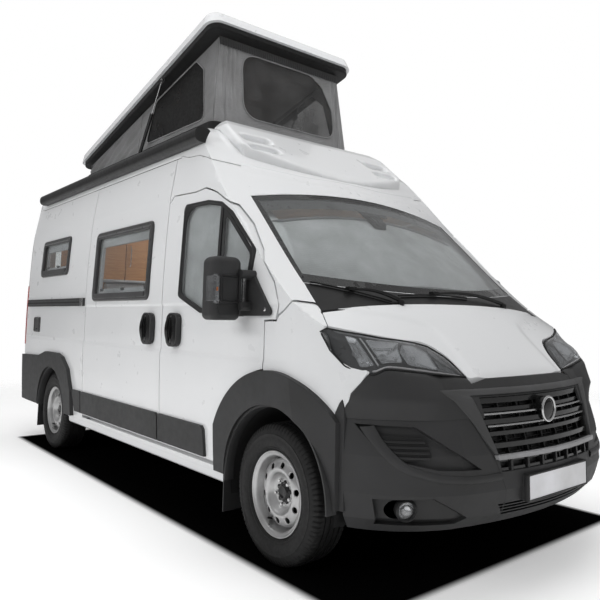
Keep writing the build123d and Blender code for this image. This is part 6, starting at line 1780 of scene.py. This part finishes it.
for body, axle_x, side, half_track in AXLES:
    short = body.replace("wheel_", "")
    for mesh, slot_name in ((tyre_mesh, "tyre"), (rim_mesh, "wheel_steel"), (hub_mesh, "gloss_black"),
                            (bolt_mesh, "steel"), (valve_mesh, "tyre")):
        piece = bpy.data.objects.new(f"{mesh.name}_of_{short}", mesh)
        scene.collection.objects.link(piece)
        turn = Matrix.Rotation(0.35 if side > 0 else 0.2, 4, "Y")
        piece.matrix_world = (Matrix.Translation((axle_x, side * half_track, AXLE_HEIGHT))
                              @ Matrix.Rotation(0.0 if side > 0 else math.pi, 4, "Z") @ turn)
        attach(piece, body)
        if mesh is tyre_mesh:
            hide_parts("tyre_" + short)
        if mesh is rim_mesh:
            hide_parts("rim_" + short)
print("wheels", len(AXLES))

# %% [markdown]
# Under the sleeping roof hangs a tent of coated cloth, clamped to the lid above and to a frame on the roof skin.
# The cloth is cut a little full, so it gathers into upright folds beside the front window and into slack diagonal
# ones towards the tail. The windows are dark insect mesh with a piped edge. Each wall is a grid grown outwards from
# its window's edge and pushed in and out by the folds.

# %% Tent cloth and mesh
TENT_BAND = weave("tent_band", 0.050, scale=700)
TENT_FRONT = weave("tent_cloth_front", 0.27)
PIPING = weave("tent_piping", 0.26, scale=1500, sheen=0.05)


def insect_mesh(name, tone, open_share):
    """Fine black net: threads in two directions with see-through gaps, too fine to show singly from afar."""
    f = Finish(name, (tone, tone, tone), 0.7)
    f.colours(f.noise(7.0, 5.0), (tone * 0.7,) * 3, (tone * 1.5,) * 3)
    f.set("Roughness", f.spread(f.noise(40.0, 3.0), 0.6, 0.8))
    f.bump(f.noise(500.0, 2.0), 0.05, 0.0002)
    share = f.spread(f.noise(3.0, 6.0), open_share - 0.10, open_share + 0.10)
    return f.mixed(share, f.bsdf, f.add("BsdfTransparent"))


NET_FRONT = insect_mesh("net_front", 0.070, 0.42)
NET_SIDE = insect_mesh("net_side", 0.008, 0.12)
TENT_BASE, TENT_LEAN, TENT_HALF, TENT_NOSE, TENT_TAIL = 2.614, 0.095, 0.637, 0.385, -2.090
TOP_GAP = 0.006                                       # between the cloth's top and the lid
LID_ANGLE = math.radians(13.44)
LID_SLOPE, LID_REST, LID_HINGE_X = math.tan(LID_ANGLE), 2.6201, -2.560      # the lid's underside in side view


def lid_under(x):
    return LID_REST + LID_SLOPE * (x - LID_HINGE_X)


def on_tent_side(x, z, lift):
    x, z = np.asarray(x, float), np.asarray(z, float)
    return np.stack([x, -(TENT_HALF - TENT_LEAN * (z - TENT_BASE) + lift), z], 1)


def on_tent_front(y, z, lift):
    y, z = np.asarray(y, float), np.asarray(z, float)
    return np.stack([TENT_NOSE - TENT_LEAN * (z - TENT_BASE) + lift, y, z], 1)


def ray_out(outline, centre, angle):
    """Distance from the centre to the outline in a direction."""
    dx, dy = math.cos(angle), math.sin(angle)
    best = 1e9
    for i in range(len(outline)):
        ax, ay = outline[i][0] - centre[0], outline[i][1] - centre[1]
        next_x, next_y = outline[(i + 1) % len(outline)]
        ex, ey = next_x - centre[0] - ax, next_y - centre[1] - ay
        cross = dx * ey - dy * ex
        if abs(cross) < 1e-12:
            continue
        along = (ax * ey - ay * ex) / cross
        share = (ax * dy - ay * dx) / cross
        if along > 0 and -1e-9 <= share <= 1 + 1e-9:
            best = min(best, along)
    return best


def wall(bm, place, outline, window, centre, folds, rings=22, spokes=260):
    """Cloth between a window and the wall's outline."""
    angles = sorted([2 * math.pi * i / spokes for i in range(spokes)]
                    + [math.atan2(p[1] - centre[1], p[0] - centre[0]) % (2 * math.pi) for p in outline])
    grid = []
    for angle in angles:
        inner, outer_d = ray_out(window, centre, angle), ray_out(outline, centre, angle)
        line = []
        for k in range(rings + 1):
            d = inner + (outer_d - inner) * k / rings
            line.append((centre[0] + d * math.cos(angle), centre[1] + d * math.sin(angle), k / rings))
        grid.append(line)
    flat = np.array(grid)
    lift = folds(flat[..., 0], flat[..., 1]) * np.minimum(1, flat[..., 2] * 6) * np.minimum(1, (1 - flat[..., 2]) * 9)
    points = place(flat[..., 0].ravel(), flat[..., 1].ravel(), lift.ravel())
    verts = [bm.verts.new(p) for p in points]
    rows = [verts[i:i + rings + 1] for i in range(0, len(verts), rings + 1)]
    fill(bm, rows + rows[:1], False)


def front_folds(y, z):
    beside = step(np.abs(y - 0.045), 0.42, 0.50)
    high = step(z, 2.62, 3.15)
    wave = np.sin(y * 165 + 1.6 * np.sin(z * 7)) + 0.55 * np.sin(y * 74 + z * 9)
    band = step(z, 3.229, 3.240)
    fine = np.sin(y * 330 + 0.5 * np.sin(y * 40))
    return (0.0062 * wave * beside * (0.25 + 0.75 * high) + 0.0012 * np.sin(y * 31 + z * 17)) * (1 - band) \
        + band * 0.0030 * fine


def side_folds(x, z):
    slack = 1 - step(x, -1.10, -0.55)
    creases = np.sin((x * 0.45 - z) * 62 + 1.8 * np.sin(x * 4.1)) + 0.5 * np.sin((x * 0.8 - z) * 35 + 1.0)
    return 0.0055 * creases * (0.20 + 0.80 * slack) + 0.0022 * np.sin(x * 19 + z * 11)


FRONT_TOP = 3.300
FRONT_DRAW = TENT_LEAN * (FRONT_TOP - TENT_BASE)      # how far the walls lean in at the front's top
FRONT_WALL = [(-TENT_HALF, TENT_BASE), (TENT_HALF, TENT_BASE), (TENT_HALF - FRONT_DRAW, FRONT_TOP),
              (-TENT_HALF + FRONT_DRAW, FRONT_TOP)]
FRONT_WINDOW = rounded([(-0.385, 2.705), (0.515, 2.705), (0.505, 2.960), (0.400, 3.160), (0.280, 3.228),
                        (-0.385, 3.228)], 0.150, 10)
FRONT_CENTRE = (0.045, 2.960)
SEAM_X = -0.950
SIDE_WALL = [(SEAM_X, TENT_BASE), (TENT_NOSE, TENT_BASE), (TENT_NOSE - FRONT_DRAW, FRONT_TOP),
             (SEAM_X, lid_under(SEAM_X) - TOP_GAP)]
SIDE_WINDOW = rounded([(-0.795, 2.680), (0.236, 2.668), (0.130, 3.090), (-0.020, 3.205), (-0.690, 3.045)], 0.060, 8)
SIDE_CENTRE = (-0.270, 2.870)
tent_pieces = []


def tent_piece(name, bm, finish, paired=False):
    piece = made(name, bm, finish, "root", "tent_fabric", 60.0, paired)
    tent_pieces.append(piece)
    return piece


bm = bmesh.new()
wall(bm, on_tent_front, FRONT_WALL, FRONT_WINDOW, FRONT_CENTRE, front_folds, 26, 420)
front_cloth = tent_piece("tent_front", bm, TENT_FRONT)
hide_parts("tent")
for way in (1, -1):
    side_bm = bmesh.new()
    wall(side_bm, on_tent_side, SIDE_WALL, SIDE_WINDOW, SIDE_CENTRE, side_folds)
    columns, levels = 76, 22
    grid = []
    for i in range(columns + 1):
        x = TENT_TAIL + (SEAM_X - TENT_TAIL) * i / columns
        top = lid_under(x) - TOP_GAP
        line = []
        for k in range(levels + 1):
            z = TENT_BASE + (top - TENT_BASE) * k / levels
            hold = min(1, k / 3, (levels - k) / 3) * min(1, (columns - i) / 3)
            line.append((x, z, float(side_folds(x, z)) * hold * 1.3))
        grid.append(line)
    pts = np.array(grid).reshape(-1, 3)
    verts = [side_bm.verts.new(p) for p in on_tent_side(pts[:, 0], pts[:, 1], pts[:, 2])]
    fill(side_bm, [verts[i:i + levels + 1] for i in range(0, len(verts), levels + 1)], False)
    to_side(side_bm, way)
    cloth = tent_piece("tent_side_right" if way > 0 else "tent_side_left", side_bm, TENT)
bm = bmesh.new()
rear_top = lid_under(TENT_TAIL) - TOP_GAP
rear_ys = np.linspace(-0.636, 0.636, 41)
for a, b in zip(rear_ys, rear_ys[1:]):
    bm.faces.new([bm.verts.new((TENT_TAIL + 0.002 * math.sin(y * 90), y, z)) for y, z in
                  ((a, TENT_BASE), (b, TENT_BASE), (b, rear_top), (a, rear_top))])
rear_cloth = tent_piece("tent_rear", bm, TENT)
print("tent walls", len(tent_pieces))

# %% Ruffled band, piping, nets and seams
bm = bmesh.new()
PLEATS, BAND_FOOT_Z, BAND_HALF = 300, 3.232, 0.583
OUT_LOW, OUT_HIGH = 0.0085, 0.003                # how far the band stands off the cloth at its foot and its top
grid = []
for i in range(PLEATS + 1):
    y = -BAND_HALF + 2 * BAND_HALF * i / PLEATS
    pleat = 0.0036 * math.sin(y * 300 + 0.8 * math.sin(y * 31))
    grid.append([bm.verts.new(spot(on_tent_front, y, BAND_FOOT_Z + (FRONT_TOP - BAND_FOOT_Z) * k / 5,
                                   OUT_LOW + (OUT_HIGH - OUT_LOW) * k / 5 + pleat * (1 - k / 6)))
                 for k in range(6)])
fill(bm, grid, False)
band = tent_piece("tent_front_band", bm, TENT_BAND)
bm = bmesh.new()
tube(bm, on_tent_front([p[0] for p in FRONT_WINDOW], [p[1] for p in FRONT_WINDOW], 0.002), 0.0060, 8, closed=True)
for x0, z0, x1, z1 in ((-0.545, TENT_BASE + 0.03, -0.520, 3.228), (0.552, TENT_BASE + 0.03, 0.545, 3.228)):
    tube(bm, on_tent_front(np.linspace(x0, x1, 20), np.linspace(z0, z1, 20), 0.004), 0.0022, 6)
tent_piece("tent_front_piping", bm, PIPING)
bm = bmesh.new()
tube(bm, on_tent_side([p[0] for p in SIDE_WINDOW], [p[1] for p in SIDE_WINDOW], 0.002), 0.0050, 8, closed=True)
tube(bm, on_tent_side(np.full(12, SEAM_X), np.linspace(TENT_BASE + 0.01, lid_under(SEAM_X) - 0.01, 12), 0.002),
     0.0030, 6)
tube(bm, on_tent_side(TENT_NOSE - 0.02 - TENT_LEAN * np.linspace(0, 0.68, 12), TENT_BASE + np.linspace(0, 0.68, 12),
                      0.001), 0.0030, 6)
tent_piece("tent_side_piping", bm, PIPING, paired=True)
for name, place, outline, finish, ways in (("front", on_tent_front, FRONT_WINDOW, NET_FRONT, (1,)),
                                           ("side", on_tent_side, SIDE_WINDOW, NET_SIDE, (1, -1))):
    for way in ways:
        bm = bmesh.new()
        middle = np.mean(np.array(outline), 0)
        rings = []
        for share in (1.01, 0.8, 0.6, 0.4, 0.2):
            pts = middle + (np.array(outline) - middle) * share
            rings.append([bm.verts.new(p) for p in place(pts[:, 0], pts[:, 1], -0.006)])
        fill(bm, rings)
        bm.faces.new(rings[-1])
        to_side(bm, way)
        net = tent_piece("tent_net_" + name + ("_right" if way > 0 else "_left"), bm, finish)
        wide = np.ptp(np.array(outline)[:, 0]) * 1.01
for piece in tent_pieces:
    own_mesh(piece)
print("tent pieces", len(tent_pieces))

# %% [markdown]
# Under the lid is a black lining board that runs out to the rim, with a paler quilted ceiling inside the tent. The
# lid carries them, so they ride on it.

# %% Lid lining
HINGE = Vector((LID_HINGE_X, 0, 2.580))
ALONG = Vector((math.cos(LID_ANGLE), 0, math.sin(LID_ANGLE)))
ABOVE = Vector((-math.sin(LID_ANGLE), 0, math.cos(LID_ANGLE)))


def on_lid(u, y, lift):
    return np.array([HINGE + ALONG * a + ABOVE * lift + Vector((0, b, 0)) for a, b in zip(u, y)])


LINING = rounded(box_outline(1.7075, 0.0, 2.660, 1.350), 0.085, 6)
bm = bmesh.new()
lay(bm, on_lid, LINING, 0.0405, 0.004, 0.3)
made("lid_lining", bm, ROOF_BLACK, "pop_roof", "roof_black")
bm = bmesh.new()
outline_in = rounded(box_outline(1.690, 0.0, 2.380, 1.090), 0.05, 5)
lay(bm, on_lid, outline_in, 0.0360, 0.003, 0.12)
made("lid_ceiling", bm, weave("ceiling_cloth", 0.12, scale=400), "pop_roof", "tent_fabric")
print("lid lining", 2)

# %% [markdown]
# The fairing in front of the tent is one plastic moulding with soft edges. Its solid is copied, remade as an even
# skin and relaxed until the corners are as round as on a real vacuum-formed hood, with a pressed scoop on each side.

# %% Fairing
bm = clean_copy("roof_fairing")
mesh = bpy.data.meshes.new("fairing_form")
bm.to_mesh(mesh)
bm.free()
fairing = bpy.data.objects.new("fairing_skin", mesh)
scene.collection.objects.link(fairing)
remesh = fairing.modifiers.new("even", "REMESH")
remesh.mode = "VOXEL"
remesh.voxel_size = 0.011
relax = fairing.modifiers.new("relax", "SMOOTH")
relax.factor = 0.5
relax.iterations = 14
bpy.context.view_layer.update()
even = bpy.data.meshes.new_from_object(fairing.evaluated_get(bpy.context.evaluated_depsgraph_get()))
fairing.modifiers.clear()
fairing.data = even
even.name = "fairing_skin"
even.materials.clear()
even.materials.append(PAINT)
even.polygons.foreach_set("use_smooth", [True] * len(even.polygons))
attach(fairing, "root")
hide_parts("roof_fairing")
print("fairing", len(even.polygons), "faces")

# %% [markdown]
# The floor is a plain pale sheet under the wheels that melts into the white surround some metres out, so there is no
# horizon line.

# %% Floor
floor_mesh = bpy.data.meshes.new("floor")
floor_bm = bmesh.new()
bmesh.ops.create_grid(floor_bm, x_segments=8, y_segments=8, size=30.0)
floor_bm.to_mesh(floor_mesh)
floor_bm.free()
floor = bpy.data.objects.new("floor", floor_mesh)
scene.collection.objects.link(floor)
FLOOR_GLOW, FADE_START, FADE_END = 0.30, 4.5, 8.5
# painted shadow: over the body's footprint the floor's colour is near-black and it has no camera glow
SHADOW_X, SHADOW_Y, SHADOW_SOFT = 2.45, 1.08, 0.035     # the ground that the body keeps the room's light from
PAINTED_SHADOW_COLOUR = (0.002, 0.002, 0.002, 1)
f = Finish("floor_pale", (0.86, 0.86, 0.86), 0.7)
f.colours(f.noise(0.6, 3.0), (0.84, 0.84, 0.84), (0.88, 0.88, 0.88))
f.set("Roughness", f.spread(f.noise(2.0, 3.0), 0.64, 0.76))
f.set("Specular IOR Level", 0.0).set("Emission Color", (1, 1, 1, 1))


def soft_step(value, start, end):
    """A node that goes softly from 0 at the start to 1 at the end."""
    node = f.add("MapRange", From_Min=start, From_Max=end, Value=value)
    node.interpolation_type = "SMOOTHSTEP"
    return node.outputs[0]


seen = f.add("LightPath").outputs["Is Camera Ray"]
apart = f.add("SeparateXYZ")
f.put(apart.inputs[0], f.coord)
# mask of the painted shadow over the body's footprint
shadow_edges = [soft_step(f.math("ABSOLUTE", apart.outputs[output]), half + SHADOW_SOFT, half - SHADOW_SOFT)
           for output, half in (("X", SHADOW_X), ("Y", SHADOW_Y))]
under = f.math("MULTIPLY", shadow_edges[0], shadow_edges[1])
f.set("Emission Strength", f.math("MULTIPLY", f.math("MULTIPLY", seen, FLOOR_GLOW), f.math("SUBTRACT", 1.0, under)))
# the floor's colour turns near-black inside the footprint as a painted shadow
shade = f.add("Mix")
shade.data_type = "RGBA"
f.put(shade.inputs["Factor"], under).put(shade.inputs["A"], f.bsdf.inputs["Base Color"].links[0].from_socket)
f.put(shade.inputs["B"], PAINTED_SHADOW_COLOUR).set("Base Color", shade.outputs["Result"])
reach = f.add("VectorMath")
reach.operation = "LENGTH"
f.put(reach.inputs[0], f.coord)
fade = soft_step(reach.outputs["Value"], FADE_START, FADE_END)
floor_mesh.materials.append(f.mixed(f.math("MULTIPLY", fade, seen), f.bsdf, f.add("BsdfTransparent")))
